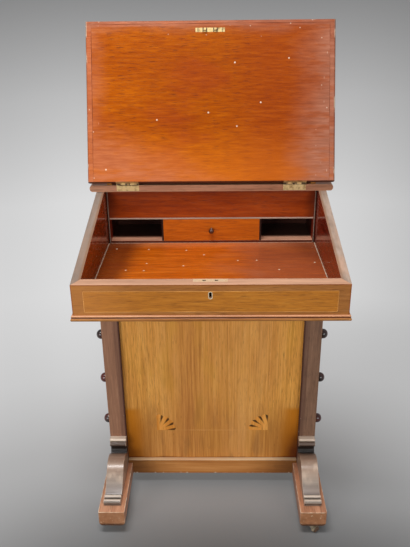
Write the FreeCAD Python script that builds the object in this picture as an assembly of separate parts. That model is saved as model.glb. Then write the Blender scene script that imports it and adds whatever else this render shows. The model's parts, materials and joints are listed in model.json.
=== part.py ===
"""Davenport desk: a sloped writing box carried by a four-drawer pedestal on sledge feet and casters.

Millimetres. X runs to the right, Y to the back and Z up. The origin is on the floor, in the middle of the
feet's footprint. The slope stands open at rest. Each sub-part is written to parts/NODE.step.
"""
import FreeCAD
import Part
import math
import os

V = FreeCAD.Vector

# ---------------------------------------------------------------- driving dimensions
# Casters
CASTER_HEIGHT = 26.0        # floor to the underside of a foot
CASTER_INSET = 20.0         # end of a foot to the swivel axis
CASTER_TRAIL = 11.0         # swivel axis to the axle
# Degrees that each caster stands turned from trailing straight back, anticlockwise from above
CASTER_TURNS = {"front_left": 15.0, "front_right": -140.0, "rear_left": -25.0, "rear_right": 35.0}
WHEEL_RADIUS = 9.0
WHEEL_WIDTH = 12.0
AXLE_RADIUS = 2.0
FORK_THICKNESS = 2.0
STEM_RADIUS = 4.0
STEM_LENGTH = 12.0          # part of the stem that is inside the foot
SOCKET_SPARE = 1.0          # empty end of the socket above the stem
PLATE_RADIUS = 17.0
PLATE_THICKNESS = 2.0

# Feet and scroll brackets
FOOT_WIDTH = 62.0
FOOT_HEIGHT = 42.0
FOOT_ROUND = 9.0            # along its lower edges
FOOT_END_ROUND = 2.5        # round the edges of its two ends
FOOT_AHEAD = 8.0            # tip of the foot to the face of the box
FOOT_BEHIND = 11.0          # back of the box to the heel of the foot
SCROLL_WIDTH = 41.0
SCROLL_HEIGHT = 87.0        # foot top to the top of the cap
SCROLL_REACH = 152.0        # post to the tip of the toe

# Pedestal
PEDESTAL_INSET = 21.5       # side of the box to the side of the pedestal
POST_WIDTH = 42.0
POST_DEPTH = 42.0
REAR_POST_DEPTH = 28.0
PANEL_THICKNESS = 10.0
BACK_PANEL_THICKNESS = 8.0
PANEL_TONGUE = 6.0          # how far a panel enters the post's groove
PANEL_RECESS = 11.0         # post face to panel face
PLINTH_THICKNESS = 24.0
PLINTH_DROP = 33.0          # foot top to the underside of the plinth
PLINTH_RISE = 9.0           # foot top to the top of the plinth
POST_SETBACK = 165.0        # box front to post front
PEDESTAL_BACK_INSET = 12.0  # box back to pedestal back

# Side drawers
DRAWER_COUNT = 4
DRAWER_OPENING = 119.5      # height of the three lower openings
TOP_DRAWER_OPENING = 111.5
RAIL_THICKNESS = 10.0
TOP_RAIL = 9.0
RAIL_WIDTH = 20.0
DRAWER_BEHIND = 38.0        # back of a drawer to the dummy front
DRAWER_FRONT = 18.0
DRAWER_SIDE = 8.0
DRAWER_BOTTOM = 5.0
DRAWER_DROP = 8.0           # the sides are this much lower than the front
DRAWER_TAILS = 3
DUMMY_THICKNESS = 12.0
RUNNER_WIDTH = 16.0
RUNNER_GUIDE = 20.0         # height of the guide above the runner
DRAWER_PLAY = 0.8           # clearance round a drawer front
BOTTOM_LIFT = 8.0           # lower edge of the sides to the drawer's bottom
TAIL_LAP = 0.62             # depth of the front's tails, as a share of its thickness

# Knobs
KNOB_INSET = 58.0           # end of a drawer's opening to the knob
KNOB_RADIUS = 12.5
KNOB_REACH = 32.0
SPIGOT_SHARE = 0.66         # depth of a knob's spigot, as a share of the front it is in
PEN_KNOB_RADIUS = 7.0
PEN_KNOB_REACH = 15.0

# Writing box
BOX_WIDTH = 563.0
BOX_DEPTH = 517.0
BOARD = 19.0
BACK_BOARD = 12.0
FLOOR_BOARD = 12.0
HOUSING = 6.0               # depth of the grooves in the box's boards
LIP = 8.0                   # the box's boards hang this far below its floor
FRONT_HEIGHT = 81.0         # lower edge to the top of the front board
SLOPE_RISE = 81.0
SLOPE_RUN = 363.0           # box front to the face of the top board
MOULDING_HEIGHT = 12.5
MOULDING_PROUD = 5.0

# Top board
TOP_SIDE_OVERHANG = 16.0    # past the box's sides, as the slope's edge is too
TOP_THICKNESS = 16.0
TOP_OVERHANG = 8.0          # past the box's back
TOP_ROUND = 7.0

# Pigeonholes inside the box
FASCIA_SETBACK = 17.0       # face of the top board to the front edges of the shelves
FASCIA_THICKNESS = 6.0
FASCIA_RECESS = 2.0
SHELF_THICKNESS = 4.0
BASE_THICKNESS = 6.0        # of the board that lies on the box's floor
SHELF_HEIGHT = 64.0         # box floor to the underside of the shelf
UPRIGHT_THICKNESS = 5.0
PIGEONHOLE_WIDTH = 131.0
PEN_DRAWER_BEHIND = 13.0    # back of the pen drawer to the back of the box
PEN_DRAWER_PLAY = 0.5
PEN_FRONT = 9.0
PEN_SIDE = 5.0
PEN_BOTTOM = 3.0
PEN_BOTTOM_LIFT = 4.0
PEN_DROP = 3.0
PEN_TAILS = 2

# Slope
SLOPE_THICKNESS = 15.0
SLOPE_OVERHANG = 9.0        # past the box front, along the slope
SLOPE_SEAT = 0.5            # clearance over the box's edges when it is shut
EDGING_WIDTH = 14.0
EDGING_ROUND = 6.0
LEATHER_MARGIN = 48.0
LEATHER_THICKNESS = 1.2
OPEN_LEAN = 20.7            # degrees past upright when it rests open

# Hinges
HINGE_INSET = 94.0          # end of the top board to the middle of the hinge
HINGE_LENGTH = 55.0
LEAF_WIDTH = 14.0
LEAF_THICKNESS = 1.6
KNUCKLE_RADIUS = 2.4
PIN_RADIUS = 1.1
HINGE_RISE = 3.5            # hinge axis above the top board
TOP_HINGE_RISE = 1.0        # hinge axis above the stationery lid
HINGE_GAP = 1.2             # between the two edges that a hinge joins
HINGE_SCREWS = 3            # in each leaf
TOP_HINGE_INSET = 103.0     # end of the stationery case to the middle of its hinge
TOP_HINGE_LENGTH = 40.0
TOP_LEAF_WIDTH = 8.0
TOP_HINGE_SCREWS = 2

# Lock
LOCK_LENGTH = 70.0
LOCK_WIDTH = 10.0
LOCK_PLATE = 2.0
LOCK_CASE_LENGTH = 56.0
LOCK_CASE_HEIGHT = 38.0
LOCK_WALL = 1.6
LINK_SPACING = 25.0
LINK_SCREW_X = 29.0
LINK_WIDTH = 6.0
LINK_THICKNESS = 2.4
LINK_REACH = 8.5
LINK_WALL = 1.4             # what is left of a link behind its window
BOLT_BAR = 5.0              # height of the bolt's bar
BOLT_HEIGHT = 2.6           # height of a hook's nose
BOLT_POST = 2.5
BOLT_NOSE = 4.5
BOLT_GAP = 0.8              # from the hooks to the links
KEYHOLE_DROP = 24.0         # front board's top edge to the keyhole's centre
KEYHOLE_HEIGHT = 14.0
KEYHOLE_WIDTH = 5.6
ESCUTCHEON_WALL = 1.5
ESCUTCHEON_DEPTH = 3.0

# Stationery case on the top board
CASE_INSET = 42.0           # end of the top board to the end of the case
CASE_BOARD = 12.0
CASE_FRONT_THICKNESS = 10.0
CASE_HEIGHT = 82.0          # top board to the top of the case's lid
CHEEK_HEIGHT = 90.0
CASE_LID_THICKNESS = 10.0
CASE_LID_LIP = 4.0          # lid past the case's front board
CASE_LID_ROUND = 3.0
CASE_SETBACK = 45.0         # face of the top board to the case's front board
CASE_DIVIDER = 4.0
END_COMPARTMENT = 159.0     # width of the compartments at the two ends
CASE_DIVIDER_DROP = 8.0     # divider's top edge below the case's lid
CHEEK_GAP = 0.4             # between the open slope and the cheeks it leans on

# Fits and screws
RUN_FIT = 0.05              # radial clearance of a pin or stem that turns
SIDE_FIT = 0.4              # clearance beside a piece that turns or slides
SCREW_HEAD = 2.1
SCREW_SHANK = 1.1
SCREW_LENGTH = 11.0
SCREW_SLOT = 0.6
BIG = 2000.0

# ---------------------------------------------------------------- places that follow from them
FOOT_TOP = CASTER_HEIGHT + FOOT_HEIGHT
DRAWERS_FROM = FOOT_TOP + PLINTH_RISE
DRAWER_PITCH = DRAWER_OPENING + RAIL_THICKNESS
TOP_DRAWER_FROM = DRAWERS_FROM + (DRAWER_COUNT - 1) * DRAWER_PITCH
FLOOR_UNDER = TOP_DRAWER_FROM + TOP_DRAWER_OPENING + TOP_RAIL
BOX_LOW = FLOOR_UNDER - LIP
FLOOR_TOP = FLOOR_UNDER + FLOOR_BOARD
FRONT_TOP = BOX_LOW + FRONT_HEIGHT
TOP_UNDER = FRONT_TOP + SLOPE_RISE
TOP_Z = TOP_UNDER + TOP_THICKNESS

HALF_BOX = BOX_WIDTH / 2
HALF_WELL = HALF_BOX - BOARD
HALF_TOP = HALF_BOX + TOP_SIDE_OVERHANG
HALF_PEDESTAL = HALF_BOX - PEDESTAL_INSET
POST_INNER = HALF_PEDESTAL - POST_WIDTH
FOOT_CENTRE_X = HALF_PEDESTAL - POST_WIDTH / 2
DRAWER_DEPTH = 2 * HALF_PEDESTAL - DUMMY_THICKNESS - DRAWER_BEHIND

FOOT_LENGTH = FOOT_AHEAD + BOX_DEPTH + FOOT_BEHIND
FOOT_FRONT = -FOOT_LENGTH / 2
BOX_FRONT = FOOT_FRONT + FOOT_AHEAD
BOX_BACK = BOX_FRONT + BOX_DEPTH
BACK_FACE = BOX_BACK - BACK_BOARD
TOP_FRONT = BOX_FRONT + SLOPE_RUN
POST_FRONT = BOX_FRONT + POST_SETBACK
OPENING_FRONT = POST_FRONT + POST_DEPTH
PEDESTAL_BACK = BOX_BACK - PEDESTAL_BACK_INSET
OPENING_BACK = PEDESTAL_BACK - REAR_POST_DEPTH
PANEL_FRONT = POST_FRONT + PANEL_RECESS
PANEL_INSIDE = PANEL_FRONT + PANEL_THICKNESS
BACK_PANEL_OUTSIDE = PEDESTAL_BACK - PANEL_TONGUE
BACK_PANEL_INSIDE = BACK_PANEL_OUTSIDE - BACK_PANEL_THICKNESS
SHELF_FRONT = TOP_FRONT + FASCIA_SETBACK
PEN_DRAWER_DEPTH = BACK_FACE - PEN_DRAWER_BEHIND - SHELF_FRONT
UPRIGHT_INNER = HALF_WELL - SIDE_FIT - UPRIGHT_THICKNESS
DIVIDER_CENTRE = UPRIGHT_INNER - PIGEONHOLE_WIDTH - SHELF_THICKNESS / 2

BOARD_INSIDE = BOX_FRONT + BOARD
LOCK_FACE = BOARD_INSIDE - LOCK_WIDTH + LOCK_WALL
LINK_XS = (-LINK_SPACING / 2, LINK_SPACING / 2)
HOOK_DROP = (LOCK_PLATE + LINK_REACH - SLOPE_SEAT + BOLT_HEIGHT) / 2
BAR_DROP = LINK_REACH - SLOPE_SEAT + BOLT_GAP

SLOPE_ANGLE = math.degrees(math.atan2(SLOPE_RISE, SLOPE_RUN))
OPEN_ANGLE = 90.0 + SLOPE_ANGLE + OPEN_LEAN
LOCK_LINE = BOX_FRONT + BOARD / math.cos(math.radians(SLOPE_ANGLE)) - LOCK_WIDTH / 2
LOCK_EDGE = FRONT_TOP + (LOCK_LINE - BOX_FRONT) * math.sin(math.radians(SLOPE_ANGLE))
SLOPE_AXIS = (TOP_FRONT - HINGE_GAP / 2, TOP_Z + HINGE_RISE)
CASE_FRONT = TOP_FRONT + CASE_SETBACK
CASE_TOP = TOP_Z + CASE_HEIGHT
HALF_CASE = HALF_TOP - CASE_INSET
CASE_INNER = HALF_CASE - CASE_BOARD
CASE_DIVIDER_X = CASE_INNER - END_COMPARTMENT - CASE_DIVIDER / 2
CASE_AXIS = (BACK_FACE - HINGE_GAP / 2, CASE_TOP + TOP_HINGE_RISE)


# ---------------------------------------------------------------- shape helpers
def block(x0, x1, y0, y1, z0, z1):
    return Part.makeBox(x1 - x0, y1 - y0, z1 - z0, V(x0, y0, z0))


def rod(radius, start, end):
    along = end - start
    return Part.makeCylinder(radius, along.Length, start, along)


def outline(steps, place):
    """A closed face. A step is a line's end, or an arc's (middle, end). place makes a vector of a pair."""
    first = place(*steps[0])
    here = first
    edges = []
    for step in steps[1:]:
        if isinstance(step[0], tuple):
            end = place(*step[1])
            edges.append(Part.Arc(here, place(*step[0]), end).toShape())
        else:
            end = place(*step)
            edges.append(Part.makeLine(here, end))
        here = end
    if (here - first).Length > 1e-6:
        edges.append(Part.makeLine(here, first))
    return Part.Face(Part.Wire(edges))


def profile_x(steps, x0, x1):
    """A (y, z) outline drawn out along X."""
    return outline(steps, lambda y, z: V(x0, y, z)).extrude(V(x1 - x0, 0, 0))


def profile_y(steps, y0, y1):
    """An (x, z) outline drawn out along Y."""
    return outline(steps, lambda x, z: V(x, y0, z)).extrude(V(0, y1 - y0, 0))


def plan(points):
    """A plan of (x, y) points as a tall prism, to cut mitres with."""
    return outline(points, lambda x, y: V(x, y, -BIG)).extrude(V(0, 0, 2 * BIG))


def turned(steps):
    """A turning about the X axis from an (x, radius) outline."""
    return outline(steps, lambda x, r: V(x, 0, r)).revolve(V(0, 0, 0), V(1, 0, 0), 360)


def moved(shape, x=0.0, y=0.0, z=0.0):
    copy = shape.copy()
    copy.translate(V(x, y, z))
    return copy


def spun(shape, angle, axis=V(0, 0, 1), centre=V(0, 0, 0)):
    copy = shape.copy()
    copy.rotate(centre, axis, angle)
    return copy


def mirrored(shape):
    return shape.mirror(V(0, 0, 0), V(1, 0, 0))


def both(shape):
    return [shape, mirrored(shape)]


def without(shape, tools):
    for tool in tools:
        shape = shape.cut(tool)
    return shape


def rounded(shape, radius, wanted):
    """Fillets the edges whose middle point satisfies wanted."""
    edges = [e for e in shape.Edges if wanted(e.CenterOfMass)]
    return shape.makeFillet(radius, edges)


def near(a, b):
    return abs(a - b) < 0.01


def on_slope(shape):
    """Tips a shape that was drawn flat at the height of the front board's top edge onto the slope."""
    return spun(shape, SLOPE_ANGLE, V(1, 0, 0), V(0, BOX_FRONT, FRONT_TOP))


def opened(shape):
    """Turns a piece of the slope from shut to its open rest."""
    return spun(shape, -OPEN_ANGLE, V(1, 0, 0), V(0, *SLOPE_AXIS))


def save(node, pieces):
    pieces = pieces if isinstance(pieces, list) else [pieces]
    solids = [solid for piece in pieces for solid in piece.Solids]
    shape = solids[0] if len(solids) == 1 else Part.makeCompound(solids)
    for solid in solids:
        if not solid.isValid() or solid.Volume <= 0:
            raise ValueError(node + " holds a bad solid")
    shape.exportStep(os.path.join("parts", node + ".step"))


# ---------------------------------------------------------------- small repeated pieces
def screw(x, y, z, along):
    """A countersunk screw and the hole that it fills. Its head is flush at (x, y, z)."""
    hole = turned([(0, 0), (0, SCREW_HEAD), (SCREW_HEAD - SCREW_SHANK, SCREW_SHANK),
                   (SCREW_LENGTH, SCREW_SHANK), (SCREW_LENGTH, 0)])
    slot = block(-SCREW_SLOT, SCREW_SLOT, -SCREW_SLOT / 2, SCREW_SLOT / 2, -2 * SCREW_HEAD, 2 * SCREW_HEAD)
    placement = FreeCAD.Placement(V(x, y, z), FreeCAD.Rotation(V(1, 0, 0), along))
    body = hole.cut(slot)
    for shape in (hole, body):
        shape.Placement = placement
    return body, hole


def knob(radius, reach, spigot):
    """A turned knob on the face x = 0, reaching along +X, with a spigot into the wood behind."""
    neck = 0.42 * radius
    rim = 0.62 * reach
    return turned([(-spigot, 0), (-spigot, neck), (0, neck), (0, 0.72 * radius),
                   ((0.1 * reach, 0.78 * radius), (0.2 * reach, 0.6 * radius)),
                   ((0.34 * reach, neck), (0.46 * reach, 0.6 * radius)),
                   ((0.5 * reach, 0.9 * radius), (rim, radius)),
                   ((0.89 * reach, 0.75 * radius), (reach, 0.25 * radius)), (reach, 0)])


def dovetails(x_root, x_tip, y0, y1, z0, z1, count):
    """Tails of a drawer side, widening from their root to their tip."""
    pitch = (z1 - z0) / count
    half_root = 0.24 * pitch
    half_tip = half_root + abs(x_tip - x_root) / 6
    tails = []
    for i in range(count):
        z = z0 + (i + 0.5) * pitch
        tails.append(profile_y([(x_root, z - half_root), (x_tip, z - half_tip),
                                (x_tip, z + half_tip), (x_root, z + half_root)], y0, y1))
    return tails


def drawer(width, height, depth, front_t, side_t, bottom_t, lift, drop, tail_count):
    """A drawer with its front's face at x = 0 and its box behind it, centred on y, standing on z = 0.

    Its sides are drop lower than its front, and its bottom lies lift above their lower edges.
    Returns the front, and a list of the sides, the back and the bottom."""
    half = width / 2
    top = height - drop
    lap = TAIL_LAP * front_t
    groove = side_t / 2
    back_x = side_t - depth
    back_z = lift + bottom_t
    front = block(-front_t, 0, -half, half, 0, height)
    back = block(-depth, back_x, -half, half, back_z, top)
    bottom = block(-depth, groove - front_t, groove - half, half - groove, lift, back_z)
    sides = []
    for y0 in (-half, half - side_t):
        side = block(back_x, -front_t, y0, y0 + side_t, 0, top)
        front_tails = dovetails(-front_t, lap - front_t, y0, y0 + side_t, 0, top, tail_count)
        back_tails = dovetails(back_x, -depth, y0, y0 + side_t, back_z, top, tail_count)
        front = without(front, front_tails)
        back = without(back, back_tails)
        side = side.multiFuse(front_tails + back_tails).removeSplitter()
        sides.append(side.cut(bottom))
    return front.cut(bottom), sides + [back, bottom]


def butt_hinge(x_centre, length, axis, rise, leaf_width, screw_count):
    """A butt hinge that is shut, with its axis along X and its two leaves hanging from it.

    The axis is rise above the boards that the leaves are let into.
    Returns the fixed leaf with its pin, the moving leaf, and what each needs cut out of its board."""
    y, z = axis
    x0 = x_centre - length / 2
    step = length / 5
    low = z - rise - leaf_width

    def leaf(y_face, inward, own):
        y_deep = y_face + inward * LEAF_THICKNESS
        plate = block(x0, x0 + length, min(y_face, y_deep), max(y_face, y_deep), low, z)
        for i in range(5):
            xa, xb = x0 + i * step, x0 + (i + 1) * step
            if i % 2 == own:
                play = SIDE_FIT / 2 if 0 < i < 4 else 0
                plate = plate.fuse(rod(KNUCKLE_RADIUS, V(xa + play, y, z), V(xb - play, y, z)))
            else:
                plate = plate.cut(rod(KNUCKLE_RADIUS + SIDE_FIT, V(xa - 0.01, y, z), V(xb + 0.01, y, z)))
        recess = block(x0, x0 + length, min(y_face, y_deep), max(y_face, y_deep), low, z)
        recess = recess.fuse(rod(KNUCKLE_RADIUS + SIDE_FIT, V(x0, y, z), V(x0 + length, y, z)))
        bore = PIN_RADIUS + RUN_FIT
        plate = plate.cut(rod(bore, V(x0 - step, y, z), V(x0 + length + step, y, z)))
        return plate.removeSplitter(), recess

    fixed, fixed_recess = leaf(y + HINGE_GAP / 2, 1, 0)
    moving, moving_recess = leaf(y - HINGE_GAP / 2, -1, 1)
    pin = rod(PIN_RADIUS, V(x0, y, z), V(x0 + length, y, z))
    screws = {"fixed": [], "moving": []}
    for i in range(screw_count):
        x = x0 + (i + 0.5) * length / screw_count
        z_screw = low + 0.42 * leaf_width
        screws["fixed"].append(screw(x, y + HINGE_GAP / 2, z_screw, V(0, 1, 0)))
        screws["moving"].append(screw(x, y - HINGE_GAP / 2, z_screw, V(0, -1, 0)))
    fixed = without(fixed, [hole for _, hole in screws["fixed"]])
    moving = without(moving, [hole for _, hole in screws["moving"]])
    return {"fixed": [fixed, pin] + [body for body, _ in screws["fixed"]],
            "moving": [moving] + [body for body, _ in screws["moving"]],
            "fixed_cuts": [fixed_recess] + [hole for _, hole in screws["fixed"]],
            "moving_cuts": [moving_recess] + [hole for _, hole in screws["moving"]]}


# ---------------------------------------------------------------- casters and feet
def caster_places():
    end = FOOT_LENGTH / 2 - CASTER_INSET
    return {"front_left": (-FOOT_CENTRE_X, -end), "front_right": (FOOT_CENTRE_X, -end),
            "rear_left": (-FOOT_CENTRE_X, end), "rear_right": (FOOT_CENTRE_X, end)}


def caster():
    """One caster at x = y = 0: its plate, its fork with stem and axle, and its wheel."""
    half_wheel = WHEEL_WIDTH / 2
    inner = half_wheel + SIDE_FIT
    outer = inner + FORK_THICKNESS
    head = outer + AXLE_RADIUS * 0.75
    plate_under = CASTER_HEIGHT - PLATE_THICKNESS
    collar_top = plate_under - SIDE_FIT
    crown_low = 2 * WHEEL_RADIUS + SIDE_FIT
    crown_top = crown_low + FORK_THICKNESS
    boss = 2.2 * AXLE_RADIUS
    crown_front = -1.6 * STEM_RADIUS
    crown_back = CASTER_TRAIL + boss + AXLE_RADIUS

    plate = rod(PLATE_RADIUS, V(0, 0, plate_under), V(0, 0, CASTER_HEIGHT))
    plate = plate.cut(rod(STEM_RADIUS + RUN_FIT, V(0, 0, 0), V(0, 0, BIG)))

    fork = block(-outer, outer, crown_front, crown_back, crown_low, crown_top)
    cheek = profile_x([(crown_front, crown_low), (CASTER_TRAIL - boss, WHEEL_RADIUS),
                       ((CASTER_TRAIL, WHEEL_RADIUS - boss), (CASTER_TRAIL + boss, WHEEL_RADIUS)),
                       (crown_back, crown_low)], inner, outer)
    fork = fork.multiFuse(both(cheek) + [rod(1.7 * STEM_RADIUS, V(0, 0, crown_low), V(0, 0, collar_top)),
                                         rod(STEM_RADIUS, V(0, 0, crown_low),
                                             V(0, 0, CASTER_HEIGHT + STEM_LENGTH))])
    axle_hole = rod(AXLE_RADIUS, V(-head, CASTER_TRAIL, WHEEL_RADIUS), V(head, CASTER_TRAIL, WHEEL_RADIUS))
    fork = fork.removeSplitter().cut(axle_hole)
    caps = rod(1.6 * AXLE_RADIUS, V(outer, CASTER_TRAIL, WHEEL_RADIUS), V(head, CASTER_TRAIL, WHEEL_RADIUS))
    axle = axle_hole.multiFuse(both(caps)).removeSplitter()

    edge = 0.15 * WHEEL_RADIUS
    wheel = turned([(-half_wheel, AXLE_RADIUS + RUN_FIT), (-half_wheel, WHEEL_RADIUS - edge),
                    (edge - half_wheel, WHEEL_RADIUS), (half_wheel - edge, WHEEL_RADIUS),
                    (half_wheel, WHEEL_RADIUS - edge), (half_wheel, AXLE_RADIUS + RUN_FIT)])
    wheel = moved(wheel, 0, CASTER_TRAIL, WHEEL_RADIUS)
    return plate, [fork, axle], wheel


def casters():
    plate, fork, wheel = caster()
    plates = []
    for name, (x, y) in caster_places().items():
        turn = CASTER_TURNS[name]
        save("caster_fork_" + name, [moved(spun(piece, turn), x, y) for piece in fork])
        save("caster_wheel_" + name, moved(spun(wheel, turn), x, y))
        plates.append(moved(plate, x, y))
    save("caster_plates", plates)


def feet():
    half = FOOT_WIDTH / 2
    for side, name in ((-1, "left"), (1, "right")):
        x = side * FOOT_CENTRE_X
        foot = block(x - half, x + half, FOOT_FRONT, -FOOT_FRONT, CASTER_HEIGHT, FOOT_TOP)
        foot = rounded(foot, FOOT_ROUND, lambda p: near(p.z, CASTER_HEIGHT) and near(p.y, 0))
        foot = rounded(foot, FOOT_END_ROUND, lambda p: near(abs(p.y), -FOOT_FRONT) and p.z < FOOT_TOP - 0.1)
        sockets = [rod(STEM_RADIUS + SIDE_FIT, V(cx, cy, 0),
                       V(cx, cy, CASTER_HEIGHT + STEM_LENGTH + SOCKET_SPARE))
                   for cx, cy in caster_places().values() if near(cx, x)]
        save("foot_" + name, without(foot, sockets))


def scroll_brackets():
    """An ogee bracket from a capped neck on the post down to a beaded toe on the foot."""
    def at(forward, up):
        return (POST_FRONT - forward * SCROLL_REACH, FOOT_TOP + up * SCROLL_HEIGHT)

    steps = [at(0, 0), at(0, 1), at(0.085, 1),
             (at(0.094, 0.96), at(0.085, 0.92)), at(0.055, 0.92), at(0.055, 0.885),
             (at(0.118, 0.815), at(0.07, 0.745)),
             (at(0.04, 0.6), at(0.1, 0.5)),
             (at(0.3, 0.69), at(0.56, 0.52)),
             (at(0.69, 0.31), at(0.84, 0.13)), at(0.85, 0.13),
             (at(0.885, 0.2), at(0.92, 0.12)), at(0.935, 0.12),
             (at(0.975, 0.18), at(1, 0.06)), at(0.99, 0)]
    half = SCROLL_WIDTH / 2
    for side, name in ((-1, "left"), (1, "right")):
        x = side * FOOT_CENTRE_X
        save("scroll_bracket_" + name, profile_x(steps, x - half, x + half))


# ---------------------------------------------------------------- pedestal
def pedestal_panels():
    reach = POST_INNER + PANEL_TONGUE
    front = block(-reach, reach, PANEL_FRONT, PANEL_INSIDE, DRAWERS_FROM, FLOOR_UNDER)
    back = block(-reach, reach, BACK_PANEL_INSIDE, BACK_PANEL_OUTSIDE, DRAWERS_FROM, FLOOR_UNDER)
    return front, back


def plinth_rails():
    """The rails under the two panels. Each is wider above the feet than between them."""
    between_feet = FOOT_CENTRE_X - FOOT_WIDTH / 2
    plinths = []
    for y0 in (POST_FRONT, PEDESTAL_BACK - PLINTH_THICKNESS):
        y1 = y0 + PLINTH_THICKNESS
        rail = block(-between_feet, between_feet, y0, y1, FOOT_TOP - PLINTH_DROP, DRAWERS_FROM)
        tongue = block(-POST_INNER, POST_INNER, y0, y1, FOOT_TOP, DRAWERS_FROM)
        plinths.append(rail.fuse(tongue).removeSplitter())
    return plinths


def pedestal():
    front_panel, back_panel = pedestal_panels()
    save("pedestal_front_panel", front_panel)
    save("pedestal_back_panel", back_panel)
    rear = []
    for side, name in ((-1, "left"), (1, "right")):
        xs = sorted((side * POST_INNER, side * HALF_PEDESTAL))
        post = block(*xs, POST_FRONT, OPENING_FRONT, FOOT_TOP, FLOOR_UNDER)
        save("front_post_" + name, post.cut(front_panel))
        rear.append(block(*xs, OPENING_BACK, PEDESTAL_BACK, FOOT_TOP, FLOOR_UNDER).cut(back_panel))
    save("rear_posts", rear)
    save("plinth_rails", plinth_rails())


def drawer_openings():
    """The bottom and height of each drawer's opening, from the top one down."""
    lower = [(DRAWERS_FROM + i * DRAWER_PITCH, DRAWER_OPENING) for i in range(DRAWER_COUNT - 1)]
    return [(TOP_DRAWER_FROM, TOP_DRAWER_OPENING)] + lower[::-1]


def drawer_frame():
    """The rails between the drawers on both sides, and the runners that carry the drawers."""
    inner = HALF_PEDESTAL - RAIL_WIDTH
    carriers = [(z - RAIL_THICKNESS, z) for z, _ in drawer_openings()[:-1]]
    carriers.append((FOOT_TOP, DRAWERS_FROM))
    rails = []
    for low, high in carriers + [(FLOOR_UNDER - TOP_RAIL, FLOOR_UNDER)]:
        rails += both(block(inner, HALF_PEDESTAL, OPENING_FRONT, OPENING_BACK, low, high))
    save("drawer_rails", rails)

    plinths = plinth_rails()
    runners = []
    for low, high in carriers:
        guide_top = high + RUNNER_GUIDE
        front = block(-inner, inner, OPENING_FRONT, OPENING_FRONT + RUNNER_WIDTH, low, high)
        front_guide = block(-POST_INNER, POST_INNER, PANEL_INSIDE, OPENING_FRONT, low, guide_top)
        back = block(-inner, inner, OPENING_BACK - RUNNER_WIDTH, OPENING_BACK, low, high)
        back_guide = block(-POST_INNER, POST_INNER, OPENING_BACK, BACK_PANEL_INSIDE, low, guide_top)
        for runner, guide in ((front, front_guide), (back, back_guide)):
            runners.append(without(runner.fuse(guide).removeSplitter(), plinths))
    save("drawer_runners", runners)


def side_drawers():
    """The working drawers on the right, and the dummy fronts that match them on the left."""
    width = OPENING_BACK - OPENING_FRONT - 2 * DRAWER_PLAY
    middle = (OPENING_FRONT + OPENING_BACK) / 2
    knob_rows = (OPENING_FRONT + KNOB_INSET, OPENING_BACK - KNOB_INSET)
    pull = knob(KNOB_RADIUS, KNOB_REACH, SPIGOT_SHARE * DRAWER_FRONT)
    dummy_pull = spun(knob(KNOB_RADIUS, KNOB_REACH, SPIGOT_SHARE * DUMMY_THICKNESS), 180)
    dummy_fronts = []
    dummy_knobs = []
    for number, (z, opening) in enumerate(drawer_openings(), start=1):
        front, rest = drawer(width, opening - DRAWER_PLAY, DRAWER_DEPTH, DRAWER_FRONT, DRAWER_SIDE,
                             DRAWER_BOTTOM, BOTTOM_LIFT, DRAWER_DROP, DRAWER_TAILS)
        knob_z = z + opening / 2
        knobs = [moved(pull, HALF_PEDESTAL, y, knob_z) for y in knob_rows]
        save("drawer_%d_front" % number, without(moved(front, HALF_PEDESTAL, middle, z), knobs))
        save("drawer_%d_box" % number, [moved(piece, HALF_PEDESTAL, middle, z) for piece in rest])
        save("drawer_%d_knobs" % number, knobs)

        dummy = block(-HALF_PEDESTAL, DUMMY_THICKNESS - HALF_PEDESTAL, OPENING_FRONT, OPENING_BACK,
                      z, z + opening)
        pair = [moved(dummy_pull, -HALF_PEDESTAL, y, knob_z) for y in knob_rows]
        dummy_fronts.append(without(dummy, pair))
        dummy_knobs += pair
    save("dummy_drawer_fronts", dummy_fronts)
    save("dummy_drawer_knobs", dummy_knobs)


# ---------------------------------------------------------------- writing box
def box_floor_board():
    reach = HALF_WELL + HOUSING
    return block(-reach, reach, BOARD_INSIDE - HOUSING, BOX_BACK, FLOOR_UNDER, FLOOR_TOP)


def box_back_board():
    reach = HALF_WELL + HOUSING
    return block(-reach, reach, BACK_FACE, BOX_BACK, FLOOR_TOP, TOP_UNDER)


def box_carcass(lock_cuts):
    floor = box_floor_board()
    back = box_back_board()
    save("box_floor", floor)
    save("box_back", back)
    side_shape = [(BOX_FRONT, BOX_LOW), (BOX_BACK, BOX_LOW), (BOX_BACK, TOP_UNDER), (TOP_FRONT, TOP_UNDER),
                  (BOX_FRONT, FRONT_TOP)]
    side = profile_x(side_shape, HALF_WELL, HALF_BOX)
    mitre = plan([(HALF_BOX, BOX_FRONT), (HALF_BOX, BOX_BACK), (HALF_WELL, BOX_BACK),
                  (HALF_WELL, BOARD_INSIDE)])
    side = without(side.common(mitre), [floor, back])
    save("box_side_right", side)
    save("box_side_left", mirrored(side))

    rise = BOARD * SLOPE_RISE / SLOPE_RUN
    front = profile_x([(BOX_FRONT, BOX_LOW), (BOARD_INSIDE, BOX_LOW), (BOARD_INSIDE, FRONT_TOP + rise),
                       (BOX_FRONT, FRONT_TOP)], -HALF_BOX, HALF_BOX)
    mitre = plan([(-HALF_BOX, BOX_FRONT), (HALF_BOX, BOX_FRONT), (HALF_WELL, BOARD_INSIDE),
                  (-HALF_WELL, BOARD_INSIDE)])
    save("box_front", without(front.common(mitre), [floor] + lock_cuts))


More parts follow.
